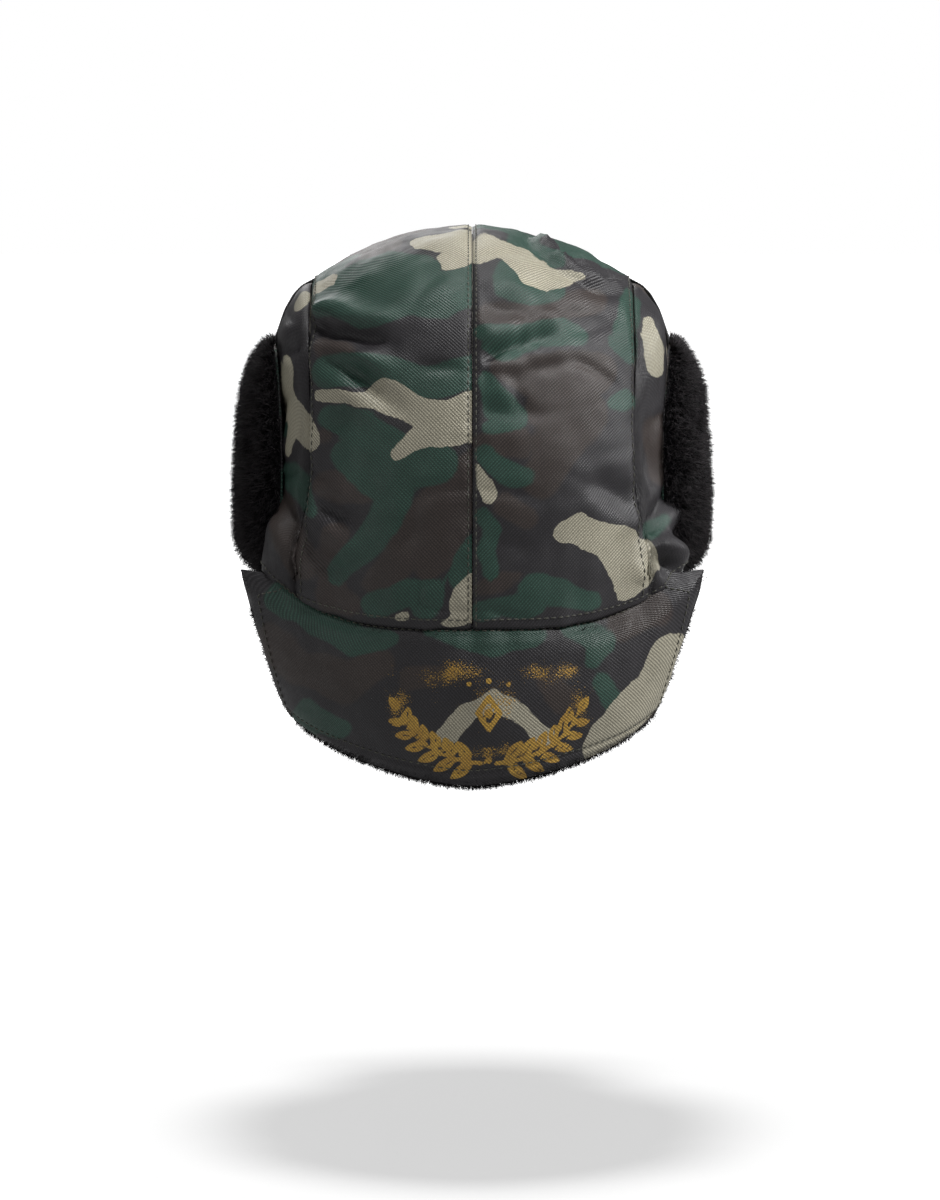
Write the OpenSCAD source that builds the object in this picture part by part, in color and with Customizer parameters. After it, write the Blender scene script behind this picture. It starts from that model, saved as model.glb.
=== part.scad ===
// Trapper hat with turned-up ear flaps, a front flap and a hanging neck flap.
// Millimetres, +Z up, the face side towards -Y. The origin is the centre of the head opening,
// in the plane of the crown's edge at the ears. The wearer's left is +X.

/* [Crown] */
// Half the crown's width across the ears
crown_half_w = 97; // [95:0.5:98]
// Half the crown's length from forehead to nape
crown_half_l = 112; // [110:0.5:114]
// Height of the crown above the head opening
crown_h = 158; // [154:1:162]
// Half the width of the centre strip between the two side seams
strip_half_w = 77; // [75:0.5:78]
// How far the crown reaches down at the nape
nape_drop = 20; // [16:1:22]

/* [Fabric] */
// Thickness of the woven outer cloth
cloth_t = 1.1; // [1:0.1:1.3]
// Thickness of the quilt wadding in the crown
wadding_t = 3.8; // [3:0.1:4]
// Thickness of the lining
lining_t = 1; // [0.8:0.1:1.2]
// Height of the inner sweatband
sweatband_h = 28; // [20:1:34]

/* [Flaps] */
// Height of a turned-up ear flap
ear_flap_h = 98; // [92:1:102]
// Half the width of an ear flap along its fold
ear_flap_half_w = 54; // [48:1:55]
// Thickness of an ear flap's fur, pile included
ear_fur_t = 11; // [8:0.5:12]
// Height of the turned-up front flap
front_flap_h = 74; // [66:1:80]
// Half the width of the front flap
front_flap_half_w = 64; // [56:1:66]
// Thickness of the front flap's fur, pile included
front_fur_t = 12; // [8:0.5:13]
// Length of the neck flap at the centre back
neck_flap_h = 76; // [68:1:82]
// Thickness of the neck flap's fur lining
neck_fur_t = 7; // [5:0.5:8]

/* [Chin strap] */
// Width of the webbing
webbing_w = 20; // [16:1:22]
// Thickness of the webbing
webbing_t = 1.4; // [1.2:0.1:1.6]
// Thickness of the buckle
buckle_t = 7.6; // [7:0.1:8]

/* [Hidden] */

camo_green = "#33453c";
camo_brown = "#3d3531";
fur_black = "#141214";
lining_black = "#1d1c20";
wadding_white = "#dcdad2";
plastic_black = "#1b1b1d";
snap_metal = "#4a4844";

ply_gap = 0.45;            // air between two plies of a flap
crown_gap = 0.8;           // and between two plies of the crown, whose flat facets don't line up
crown_power = 2.5;         // roundness of the crown seen from the side
plan_power = 2.2;          // roundness of the head opening
roof_power = 2.1;          // how the roof falls from the centre seam to a side seam
roof_fall = 0.165;         // share of the height lost at a side seam
dip_start = 56;            // the crown's edge begins to drop here, behind the ears
seam_gap = 0.5;            // between the centre strip and a side panel
step = 0.002;              // used to find a surface's normal

wadding_in = cloth_t + crown_gap;
lining_in = wadding_in + wadding_t + crown_gap;
elastic_in = lining_in + lining_t + 2 * crown_gap;
elastic_t = 0.8;
sweatband_in = elastic_in + elastic_t + crown_gap;
sweatband_t = 1.2;
label_in = sweatband_in + sweatband_t + ply_gap;

// ---------------------------------------------------------------- sheets

function unit(v) = v / max(norm(v), 1e-9);

// 0 below low, 1 above high, and smooth between them
function smooth_step(x, low, high) =
  let (t = max(0, min(1, (x - low) / (high - low)))) t * t * (3 - 2 * t);

// Outward normal of a surface s(u, v), by small differences that stay inside its edges
function normal_of(s, u, v) =
  unit(cross(s(min(u + step, 1), v) - s(max(u - step, 0), v),
             s(u, min(v + step, 1)) - s(u, max(v - step, 0))));

// Points of a surface moved by depth(u, v) along its normal
function moved_grid(s, nu, nv, depth) =
  [for (i = [0:nu], j = [0:nv])
    let (u = i / nu, v = j / nv) s(u, v) + depth(u, v) * normal_of(s, u, v)];

function cell_faces(a, b, c, d) = [[a, d, c], [a, c, b]];

// A closed sheet of cloth between two depths of one surface
module sheet(s, nu, nv, inner, outer) {
  row = nv + 1;
  layer = (nu + 1) * row;
  faces = [
    for (i = [0:nu - 1], j = [0:nv - 1])
      let (p = i * row + j) each cell_faces(p, p + row, p + row + 1, p + 1),
    for (i = [0:nu - 1], j = [0:nv - 1])
      let (p = layer + i * row + j) each cell_faces(p + 1, p + row + 1, p + row, p),
    for (i = [0:nu - 1], edge = [0, nv])
      let (p = i * row + edge, q = p + layer)
        each edge == 0 ? cell_faces(q, q + row, p + row, p) : cell_faces(p, p + row, q + row, q),
    for (j = [0:nv - 1], edge = [0, nu])
      let (p = edge * row + j, q = p + layer)
        each edge == 0 ? cell_faces(q + 1, q, p, p + 1) : cell_faces(p + 1, p, q, q + 1)
  ];
  polyhedron(concat(moved_grid(s, nu, nv, outer), moved_grid(s, nu, nv, inner)), faces, 10);
}

function flat_depth(d) = function(u, v) d;

// ---------------------------------------------------------------- crown

function super_root(x, power) = pow(max(0, 1 - pow(abs(x), power)), 1 / power);
function plan_share(x) = super_root(x / crown_half_w, plan_power);
function roof_share(x) = 1 - roof_fall * pow(abs(x) / strip_half_w, roof_power);
function signed_pow(x, e) = sign(x) * pow(abs(x), e);

// Height of the crown's lower edge, which drops behind the ears
function edge_z(y) =
  y <= dip_start ? 0 : -nape_drop * sin(90 * min(1, (y - dip_start) / (crown_half_l - dip_start)));

// The centre strip: u runs across from x0 to x1, v from the forehead over the top to the nape
arc_share = 0.93;
function strip_surface(x0, x1) = function(u, v)
  let (
    x = x0 + (x1 - x0) * u,
    angle = 180 * min(1, v / arc_share),
    half_l = crown_half_l * plan_share(x),
    high = crown_h * roof_share(x),
    below = max(0, v - arc_share) / (1 - arc_share)
  )
  [x, -half_l * signed_pow(cos(angle), 2 / crown_power),
   high * pow(abs(sin(angle)), 2 / crown_power) + below * edge_z(half_l)];

// The left side panel: u runs from front to back, v from the edge up to share of the side seam
side_half_l = crown_half_l * plan_share(strip_half_w);
side_h = crown_h * roof_share(strip_half_w);
side_puff = 8.5;           // the panel puffs out by this much above the folded ear flap
puff_low = 0.5;            // it starts to at this share of its height
puff_high = 0.9;           // and is at its full width from this share up
puff_flat = 10;            // how flat the puffed part is up to its edge at the side seam
puff_edge = 0.8;           // how steeply it falls there
function side_surface(share) = function(u, v)
  let (
    y = share * side_half_l * sin(90 * (2 * u - 1)),
    low = edge_z(y),
    top = share * side_h * super_root(y / side_half_l, crown_power),
    z = low + (top - low) * v,
    radius = min(1, pow(pow(abs(y) / side_half_l, crown_power)
                        + pow(max(0, z) / side_h, crown_power), 1 / crown_power)),
    plain_x = crown_half_w * super_root(plan_share(strip_half_w) * radius, plan_power),
    puffed = pow(1 - pow(radius, puff_flat), puff_edge) * smooth_step(z / side_h, puff_low, puff_high)
  )
  [plain_x + side_puff * puffed, y, z];

// The oval wall of the head opening: u runs round it, v from the crown's edge upwards
function oval_surface(from, to, high, up) = function(u, v)
  let (
    angle = from + (to - from) * u,
    x = crown_half_w * signed_pow(sin(angle), 2 / plan_power),
    y = crown_half_l * signed_pow(cos(angle), 2 / plan_power)
  )
  [-x, y, edge_z(y) + up + high * v];

module center_ply(x0, x1, nu, from, thick) {
  sheet(strip_surface(x0, x1), nu, 36, flat_depth(-from - thick), flat_depth(-from));
}

module side_ply(share, nu, nv, from, thick) {
  sheet(side_surface(share), nu, nv, flat_depth(-from - thick), flat_depth(-from));
}

// How far each ply of the centre strip stays from a side seam, and each ply's share of a side panel
half_center_gap = 0.1;
wadding_inset = 3;
lining_inset = 5;
side_cloth_share = 0.993;
side_wadding_share = 0.93;
side_lining_share = 0.89;
panel_edge = strip_half_w - seam_gap;
module center_panel() { color(camo_green) center_ply(half_center_gap, panel_edge, 8, 0, cloth_t); }
module side_panel() { color(camo_brown) side_ply(side_cloth_share, 16, 12, 0, cloth_t); }

module center_panel_left() { center_panel(); }
module center_panel_right() { mirror([1, 0, 0]) center_panel(); }
module side_panel_left() { side_panel(); }
module side_panel_right() { mirror([1, 0, 0]) side_panel(); }

// Inner plies end short of the ridge along a side seam, so that they don't cross there
module center_wadding() {
  reach = strip_half_w - wadding_inset;
  color(wadding_white) center_ply(-reach, reach, 14, wadding_in, wadding_t);
}
module side_wadding_left() {
  color(wadding_white) side_ply(side_wadding_share, 16, 11, wadding_in, wadding_t);
}
module side_wadding_right() { mirror([1, 0, 0]) side_wadding_left(); }
module center_lining() {
  reach = strip_half_w - lining_inset;
  color(lining_black) center_ply(-reach, reach, 14, lining_in, lining_t);
}
module side_lining_left() {
  color(lining_black) side_ply(side_lining_share, 16, 11, lining_in, lining_t);
}
module side_lining_right() { mirror([1, 0, 0]) side_lining_left(); }

// The sweatband's two ends meet at the nape with a small gap
sweatband_start = 0.4;
module sweatband() {
  color(lining_black)
    sheet(oval_surface(sweatband_start, 360 - sweatband_start, sweatband_h, 1), 64, 2,
          flat_depth(-sweatband_in - sweatband_t), flat_depth(-sweatband_in));
}

elastic_reach = 46;
elastic_h = 8;
elastic_up = 4;
module nape_elastic() {
  color("white")
    sheet(oval_surface(-elastic_reach, elastic_reach, elastic_h, elastic_up), 20, 1,
          flat_depth(-elastic_in - elastic_t), flat_depth(-elastic_in));
}

label_w = 30;
label_h = 18;
label_t = 0.4;
label_z = 2;
label_clear = 1.6;         // the label is flat and the sweatband curves away from it
module care_label() {
  color("white")
    translate([-label_w / 2, crown_half_l - label_in - label_clear, label_z])
      cube([label_w, label_t, label_h]);
}

// ---------------------------------------------------------------- neck flap

neck_reach = 59.5;         // half the angle the neck flap spans, seen from above
neck_half_w = 112;         // its half width before the wings flare
neck_wing_flare = 0.135;   // the folded ear flaps push the top corners out by this share
neck_taper = 0.11;         // it narrows by this share down to its hem
neck_top_l = 112.5;        // distance behind the origin at the top
neck_belly = 3.5;          // it swells by this much half way down
neck_tuck = 5;             // its hem is this much nearer the neck
neck_hem_rise = 24;        // the hem's corners are this much higher than its centre
neck_hem_flat = 0.25;      // how level the hem stays either side of its centre
neck_corner_rise = 4;      // the folded ear flaps lift the top corners by this much
neck_top_gap = 1.6;        // below the crown's edge
neck_seam_out = 1.2;       // outside the crown's edge at the seam
neck_flare_v = 0.16;       // the cloth has left the crown this far down, at the nape
neck_shelf_v = 0.04;       // and this far down at the top corners
function neck_surface() = function(u, v)
  let (
    angle = neck_reach * (1 - 2 * u),
    side = abs(1 - 2 * u),
    flare = 1 + neck_wing_flare * pow(side, 4) * (1 - v),
    narrow = 1 - neck_taper * v * v * side,
    free_x = neck_half_w * sin(angle) * flare * narrow,
    free_y = (neck_top_l + neck_belly * sin(180 * v) - neck_tuck * v * v) * cos(angle),
    seam_x = (crown_half_w + neck_seam_out) * signed_pow(sin(angle), 2 / plan_power),
    seam_y = (crown_half_l + neck_seam_out) * signed_pow(cos(angle), 2 / plan_power),
    leave_v = neck_flare_v + (neck_shelf_v - neck_flare_v) * pow(side, 6),
    ease = smooth_step(v, 0, leave_v),
    top = edge_z(seam_y) - neck_top_gap + neck_corner_rise * pow(side, 8),
    hem = -nape_drop - neck_flap_h
          + neck_hem_rise * (1 + neck_hem_flat) * side * side / (side + neck_hem_flat)
  )
  [-(seam_x + (free_x - seam_x) * ease), seam_y + (free_y - seam_y) * ease, top + (hem - top) * v];

// u runs from the wearer's right to the left, so the normal points away from the neck
module neck_flap_shell() {
  color(camo_brown) sheet(neck_surface(), 24, 12, flat_depth(0), flat_depth(cloth_t));
}

// The fur starts below the fold at the seam, and thins towards its seam and hem
neck_fur_start_v = 0.16;
neck_fur_in = 2 * ply_gap;
neck_fur_edge_t = 2;
neck_fur_margin = 0.08;    // share of its height over which it thins
module neck_flap_fur() {
  whole = neck_surface();
  below_fold = function(u, v) whole(u, neck_fur_start_v + (1 - neck_fur_start_v) * v);
  color(fur_black)
    sheet(below_fold, 24, 11,
          function(u, v)
            -neck_fur_in - neck_fur_edge_t
            - (neck_fur_t - neck_fur_edge_t)
              * sqrt(sin(180 * (neck_fur_margin + (1 - 2 * neck_fur_margin) * v))),
          flat_depth(-neck_fur_in));
}

// ---------------------------------------------------------------- front flap

front_fold_y = 115.5;      // the fold's distance in front of the origin
front_wrap = 12;           // how far the flap's ends curve back
front_lean = 3.5;          // how far its top leans towards the crown
front_foot = 3;            // height of the flap's lower edge
front_corner = 0.4;        // how much of the width is lost at the rounded top corners
function front_surface() = function(u, v)
  let (
    side = 2 * u - 1,
    half_w = front_flap_half_w * (1 - front_corner * pow(v, 7)),
    x = half_w * side
  )
  [x, -front_fold_y + front_wrap * pow(x / front_flap_half_w, 2) + front_lean * v * v,
   front_foot + front_flap_h * v];

stiffener_t = 0.8;
front_fur_in = cloth_t + stiffener_t + 2 * ply_gap;
front_backing_t = 2;

// How thick a flap's pile is: 1 in the middle, falling to low round the edge
swell_side = 0.06;
swell_end = 0.1;
swell_flat = 0.4;
function edge_swell(u, v, low) =
  low + (1 - low) * pow(sin(180 * (swell_side + (1 - 2 * swell_side) * u))
                        * sin(180 * (swell_end + (1 - 2 * swell_end) * v)), swell_flat);
front_edge_share = 0.45;
ear_edge_share = 0.35;

module front_flap_shell() {
  color(camo_green) sheet(front_surface(), 14, 6, flat_depth(0), flat_depth(cloth_t));
}
module front_flap_stiffener() {
  color(wadding_white)
    sheet(front_surface(), 14, 6, flat_depth(cloth_t + ply_gap),
          flat_depth(cloth_t + ply_gap + stiffener_t));
}
module front_flap_fur() {
  color(fur_black) difference() {
    sheet(front_surface(), 14, 8, flat_depth(front_fur_in),
          function(u, v)
            front_fur_in + (front_fur_t - front_backing_t) * edge_swell(u, v, front_edge_share));
    at_snaps() translate([0, 0, snap_flap_y]) cylinder(r = cap_r + ply_gap, h = pocket_h);
  }
}

// Two press studs hold the front flap up. Each stud's axis is the way its socket pulls off.
snap_x = 24;
snap_z = 52;
snap_stud_r = 1.9;
snap_socket_r = 5;
snap_crown_y = 108.2;      // just clear of the crown's face all round a stud's base
snap_flap_y = 111.2;       // just clear of the flap's back face all round a socket
snap_base_r = 4;
snap_base_t = 0.6;
snap_stud_h = 1.4;
snap_fit = 0.15;           // side clearance between a stud and its socket
snap_air = 0.2;            // between a stud's base and its socket
snap_bore_h = 5;
cap_r = 5;
cap_t = 0.9;
cap_y = 115.6;             // the caps lie on the stiffener, in the back of the fur
pocket_h = cap_y + cap_t + ply_gap - snap_flap_y;
module at_snaps() {
  for (side = [-1, 1])
    translate([side * snap_x, 0, snap_z]) rotate([90, 0, 0]) children();
}
module front_snap_studs() {
  color(snap_metal) at_snaps() {
    translate([0, 0, snap_crown_y]) cylinder(r = snap_base_r, h = snap_base_t, $fn = 40);
    translate([0, 0, snap_crown_y]) cylinder(r = snap_stud_r, h = snap_base_t + snap_stud_h, $fn = 32);
  }
}
socket_y = snap_crown_y + snap_base_t + snap_air;
module front_snap_sockets() {
  color(snap_metal) at_snaps()
    difference() {
      translate([0, 0, socket_y]) cylinder(r = snap_socket_r, h = snap_flap_y - socket_y, $fn = 40);
      translate([0, 0, snap_crown_y])
        cylinder(r = snap_stud_r + snap_fit, h = snap_bore_h, $fn = 32);
    }
}
module front_snap_caps() {
  color(snap_metal) at_snaps()
    translate([0, 0, cap_y]) cylinder(r = cap_r, h = cap_t, $fn = 40);
}

// ---------------------------------------------------------------- ear flaps

ear_fold_x = 98.5;         // the fold line, beside the crown's edge
ear_center_y = -2;
ear_foot = 2.5;            // height of a turned-up flap's lower edge
ear_lean = 5;              // how far the tip leans in over the crown
ear_wrap = 0.0016;         // curve along the fold
ear_tip_w = 0.68;          // width at the tip, before its corners are rounded
ear_corner_v = 0.93;       // how far up the corners' curve reaches
ear_corner_power = 5;      // how tightly the corners curve
ear_lean_power = 2.2;
ear_wadding_t = 2.6;
function ear_surface() = function(u, v)
  let (
    side = 2 * u - 1,
    corner = sqrt(1 - pow(ear_corner_v * v, ear_corner_power)),
    half_w = ear_flap_half_w * (1 - (1 - ear_tip_w) * v) * corner,
    along = half_w * side
  )
  [ear_fold_x - ear_lean * pow(v, ear_lean_power) - ear_wrap * along * along,
   ear_center_y + along, ear_foot + ear_flap_h * v];

ear_wadding_in = cloth_t + ply_gap;
ear_fur_in = ear_wadding_in + ear_wadding_t + ply_gap;
module ear_flap_shell_left() {
  color(camo_green) sheet(ear_surface(), 10, 10, flat_depth(0), flat_depth(cloth_t));
}
module ear_flap_wadding_left() {
  color(wadding_white)
    sheet(ear_surface(), 8, 8, flat_depth(ear_wadding_in), flat_depth(ear_wadding_in + ear_wadding_t));
}
module ear_flap_fur_left() {
  color(fur_black)
    sheet(ear_surface(), 10, 10, flat_depth(ear_fur_in),
          function(u, v) ear_fur_in + ear_fur_t * edge_swell(u, v, ear_edge_share));
}
module ear_flap_shell_right() { mirror([1, 0, 0]) ear_flap_shell_left(); }
module ear_flap_wadding_right() { mirror([1, 0, 0]) ear_flap_wadding_left(); }
module ear_flap_fur_right() { mirror([1, 0, 0]) ear_flap_fur_left(); }

// ---------------------------------------------------------------- chin strap and buckle

strap_lift = 3.2;          // webbing's middle above the crown
strap_rise = [             // from the flap's tip forwards round the puffed side panel
  [ear_fold_x - ear_lean + 0.9, -12, ear_foot + ear_flap_h + 2.6],
  [92.4, -18, 111.5],
  [89.6, -25, 117],
  [85.8, -32, 120.5]
];
seam_angle = 64;           // where the strap crosses the side seam: 0 is the forehead, 90 the top
buckle_angle = 53.4;       // where the buckle lies on the centre line
strap_sweep = 1.4;         // how the strap's line bends between the seam and the buckle
strap_steps = 7;
leave_x = 55;              // the webbing leaves the crown here and rises into the buckle
bar_x = 27;                // the female half's webbing bar
bar_r = 1.4;
bar_air = 0.3;             // between the bar and the webbing round it
loop_r = bar_r + bar_air + webbing_t / 2;

// The crown at a distance from the centre, along the strap's slanting line
function strap_line(x) = strip_surface(0, x)(
  1, arc_share / 180
     * (buckle_angle + (seam_angle - buckle_angle) * pow(x / strip_half_w, strap_sweep)));
function bulge(p) =
  unit([p[0] / pow(crown_half_w, 2), p[1] / pow(crown_half_l, 2), p[2] / pow(crown_h, 2)]);

// The buckle lies flat on the crown at the centre line. x runs to the wearer's left, h outwards.
buckle_foot = strap_line(0);
buckle_up = bulge(buckle_foot);
buckle_across = [0, buckle_up[2], -buckle_up[1]];
buckle_tilt = atan2(-buckle_up[1], buckle_up[2]);
buckle_air = 0.8;          // between the buckle and the crown
buckle_center = buckle_foot + (buckle_air + buckle_t / 2) * buckle_up;
function at_buckle(x, h) = buckle_center + [x, 0, 0] + h * buckle_up;
module on_buckle() { translate(buckle_center) rotate([buckle_tilt, 0, 0]) children(); }

// Middle line of the webbing from a flap's tip over the crown
over_crown = concat(
  strap_rise,
  [for (k = [0:strap_steps])
    let (p = strap_line(strip_half_w + (leave_x - strip_half_w) * k / strap_steps))
      p + strap_lift * bulge(p)]);
function ahead(path, i) = unit(path[min(i + 1, len(path) - 1)] - path[max(i - 1, 0)]);
over_crown_across = concat(
  [[0, -1, 0]],
  [for (i = [1:len(over_crown) - 1]) unit(cross(bulge(over_crown[i]), ahead(over_crown, i)))]);

// A band of webbing along a path, with the way across it at each point
function band_surface(path, across) = function(u, v)
  let (
    place = u * (len(path) - 1),
    i = min(floor(place), len(path) - 2),
    part = place - i,
    side = (v - 0.5) * webbing_w
  )
  (path[i] + side * across[i]) * (1 - part) + (path[i + 1] + side * across[i + 1]) * part;
module webbing(end_points) {
  path = concat(over_crown, end_points);
  across = concat(over_crown_across, [for (p = end_points) -buckle_across]);
  color(lining_black)
    sheet(band_surface(path, across), len(path) - 1, 2,
          flat_depth(-webbing_t / 2), flat_depth(webbing_t / 2));
}

// The left webbing ends flat inside the male half's adjuster tunnel
tunnel_x = 42;
tunnel_end_x = 27;
module strap_webbing_left() { webbing([at_buckle(tunnel_x, 0), at_buckle(tunnel_end_x, 0)]); }

// The right webbing turns round the female half's bar and comes back under itself
loop_len = 9;
module strap_webbing_right() {
  mirror([1, 0, 0])
    webbing(concat(
      [at_buckle(bar_x + loop_len, loop_r - 1)],
      [for (turn = [90:30:270]) at_buckle(bar_x + loop_r * cos(turn), loop_r * sin(turn))],
      [at_buckle(bar_x + loop_len, -loop_r - 0.6)]));
}

buckle_w = 30;
mouth_x = 2;               // the female half's mouth, towards the wearer's left
body_x = -18;              // the other end of its hollow body
cavity_depth = 17;
wall = 1.5;
rail_w = 2.4;
rail_t = 4.4;
window_x = -12;            // the windows that the prongs' barbs spring into
window_len = 8;
window_t = 3.2;
window_depth = 2;
module buckle_female() {
  color(plastic_black) on_buckle() {
    difference() {
      translate([body_x, -buckle_w / 2, -buckle_t / 2]) cube([mouth_x - body_x, buckle_w, buckle_t]);
      translate([mouth_x - cavity_depth, wall - buckle_w / 2, wall - buckle_t / 2])
        cube([cavity_depth + 1, buckle_w - 2 * wall, buckle_t - 2 * wall]);
      for (side = [-1, 1])
        translate([window_x, side * buckle_w / 2 - window_depth, -window_t / 2])
          cube([window_len, 2 * window_depth, window_t]);
    }
    for (side = [-1, 1])
      translate([-bar_x - rail_t / 2, side * (buckle_w - rail_w) / 2 - rail_w / 2, -rail_t / 2])
        cube([bar_x + rail_t / 2 + 0.5 + body_x, rail_w, rail_t]);
    translate([-bar_x, buckle_w / 2 - 1, 0]) rotate([90, 0, 0])
      cylinder(r = bar_r, h = buckle_w - 2, $fn = 32);
  }
}

// The male half: a guide tongue between two springy prongs, on an adjuster the webbing runs through
prong_len = 15;
prong_gap = 3;             // prong tips stand this far out of the mouth while unclipped
prong_t = 3;
prong_w = 2.4;
prong_y = 9.6;
tongue_w = 8;
adjuster_len = 17;
adjuster_wall = 3;
adjuster_inset = 1;        // the adjuster is this much narrower than the female half on each side
adjuster_t = buckle_t - 1.2;
tunnel_w = webbing_w + 1.2;
tunnel_t = webbing_t + 1;
barb_w = 1;
barb_x = 2.4;
module buckle_male() {
  root_x = mouth_x + prong_gap + prong_len;
  color(plastic_black) on_buckle() {
    difference() {
      translate([root_x, adjuster_inset - buckle_w / 2, -adjuster_t / 2])
        cube([adjuster_len, buckle_w - 2 * adjuster_inset, adjuster_t]);
      translate([root_x + adjuster_wall, -tunnel_w / 2, -tunnel_t / 2])
        cube([adjuster_len, tunnel_w, tunnel_t]);
    }
    translate([root_x - prong_len + 2, -tongue_w / 2, -prong_t / 2])
      cube([prong_len - 1.5, tongue_w, prong_t]);
    for (side = [-1, 1]) {
      translate([root_x - prong_len, side * prong_y - prong_w / 2, -prong_t / 2])
        cube([prong_len + 0.5, prong_w, prong_t]);
      translate([root_x - prong_len + barb_x, side * (prong_y + 2 * barb_w), 0])
        linear_extrude(prong_t, center = true)
          polygon([[-barb_x, -side * barb_w], [0, side * barb_w], [4.5, side * barb_w],
                   [6, -side * barb_w]]);
    }
  }
}

center_panel_left();
center_panel_right();
side_panel_left();
side_panel_right();
center_wadding();
side_wadding_left();
side_wadding_right();
center_lining();
side_lining_left();
side_lining_right();
sweatband();
nape_elastic();
care_label();
front_snap_studs();
neck_flap_shell();
neck_flap_fur();
front_flap_shell();
front_flap_stiffener();
front_flap_fur();
front_snap_sockets();
front_snap_caps();
ear_flap_shell_left();
ear_flap_wadding_left();
ear_flap_fur_left();
ear_flap_shell_right();
ear_flap_wadding_right();
ear_flap_fur_right();
strap_webbing_left();
strap_webbing_right();
buckle_male();
buckle_female();
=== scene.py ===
"""The looks of a camouflage trapper hat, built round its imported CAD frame.

Shapes are worked out in millimetres, in the frame's axes: +Z up, the face towards -Y, the wearer's left
at +X. They become metres when a mesh is made. A sheet of cloth is a grid of points (rows, columns, 3).
"""

import itertools
import math

import bpy
import numpy as np
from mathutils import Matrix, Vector


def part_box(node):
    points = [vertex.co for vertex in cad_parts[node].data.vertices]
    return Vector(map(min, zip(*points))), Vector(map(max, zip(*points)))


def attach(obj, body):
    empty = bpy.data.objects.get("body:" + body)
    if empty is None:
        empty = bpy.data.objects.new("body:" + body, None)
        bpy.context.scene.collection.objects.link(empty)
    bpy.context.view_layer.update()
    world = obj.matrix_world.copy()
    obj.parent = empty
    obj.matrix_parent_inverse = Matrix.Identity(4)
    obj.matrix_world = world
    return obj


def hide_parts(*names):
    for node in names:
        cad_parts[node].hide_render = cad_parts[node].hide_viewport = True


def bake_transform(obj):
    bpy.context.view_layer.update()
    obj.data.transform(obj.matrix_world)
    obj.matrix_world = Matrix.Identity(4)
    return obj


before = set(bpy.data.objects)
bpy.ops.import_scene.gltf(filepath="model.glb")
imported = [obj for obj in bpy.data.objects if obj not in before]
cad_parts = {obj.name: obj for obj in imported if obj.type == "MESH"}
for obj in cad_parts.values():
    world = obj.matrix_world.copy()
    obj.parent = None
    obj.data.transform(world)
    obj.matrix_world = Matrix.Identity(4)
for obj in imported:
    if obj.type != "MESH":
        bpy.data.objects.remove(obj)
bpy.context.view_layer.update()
MM = 0.001


# ------------------------------------------------------------------ sizes, from the frame

def low_high(node):
    low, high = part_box(node)
    return np.array(low) / MM, np.array(high) / MM


panel_low, panel_high = low_high("center_panel_left")
_, side_high = low_high("side_panel_left")
CROWN_HALF_L = panel_high[1]
CROWN_H = panel_high[2]
NAPE_DROP = -panel_low[2]
CROWN_HALF_W = side_high[0]
STRIP_HALF_W = 77.0
CROWN_POWER = 2.5
PLAN_POWER = 2.2
ROOF_POWER = 2.1
ROOF_FALL = 0.165
ARC_SHARE = 0.93
DIP_START = 56.0
CLOTH_T = 1.1
LAYER_GAP = 0.45

CAMERA_DISTANCE = 2400.0
CAMERA_ELEVATION = math.radians(8)


# ------------------------------------------------------------------ small maths

def unit(v):
    return v / np.maximum(np.linalg.norm(v, axis=-1, keepdims=True), 1e-9)


def ease(x, low, high):
    """0 below low, 1 above high, and smooth between them."""
    t = np.clip((x - low) / (high - low), 0, 1)
    return t * t * (3 - 2 * t)


def value_noise(points, seed):
    """Smooth noise between -1 and 1, with cells one unit wide."""
    flat = points.reshape(-1, points.shape[-1])
    cell = np.floor(flat).astype(np.int64)
    part = flat - cell
    part = part * part * (3 - 2 * part)
    total = np.zeros(len(flat))
    for corner in itertools.product((0, 1), repeat=3):
        at = cell + np.array(corner)
        mixed = at[:, 0] * 73856093 ^ at[:, 1] * 19349663 ^ at[:, 2] * 83492791 ^ (seed * 2654435)
        mixed = ((mixed ^ (mixed >> 13)) * 1274126177) & 0x7FFFFFFF
        value = ((mixed >> 7) & 0xFFFF) / 32767.5 - 1
        total += value * np.prod(np.where(corner, part, 1 - part), axis=1)
    return total.reshape(points.shape[:-1])


def fractal(points, size, seed, octaves=3):
    """Noise whose largest lumps are about size wide."""
    total, weight = 0, 0
    for k in range(octaves):
        total = total + value_noise(points * 2 ** k / size + 17.3 * k, seed + k) * 0.5 ** k
        weight += 0.5 ** k
    return total / weight


def distance_to_chain(points, chain):
    """How far inside a chain of tapered capsules each 2-D point lies: positive inside."""
    chain = np.array(chain, float)
    if len(chain) == 1:
        return chain[0, 2] - np.linalg.norm(points - chain[0, :2], axis=-1)
    best = np.full(points.shape[:-1], -1e3)
    for a, b in zip(chain[:-1], chain[1:]):
        along = b[:2] - a[:2]
        t = np.clip(((points - a[:2]) @ along) / (along @ along), 0, 1)
        gap = np.linalg.norm(points - a[:2] - t[..., None] * along, axis=-1)
        best = np.maximum(best, a[2] + (b[2] - a[2]) * t - gap)
    return best


def inside_chains(points, chains):
    return np.max([distance_to_chain(points, c) for c in chains], axis=0)


def seen_from_behind(p):
    """Where a point lies as seen from the camera behind the hat: mm to the right, mm up."""
    c, s = math.cos(CAMERA_ELEVATION), math.sin(CAMERA_ELEVATION)
    nearer = p[..., 1] * c + p[..., 2] * s
    grow = CAMERA_DISTANCE / (CAMERA_DISTANCE - nearer)
    return np.stack([-p[..., 0] * grow, (p[..., 2] * c - p[..., 1] * s) * grow], axis=-1)


def grid_normals(grid):
    across = np.gradient(grid, axis=0)
    along = np.gradient(grid, axis=1)
    return unit(np.cross(across, along))


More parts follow.
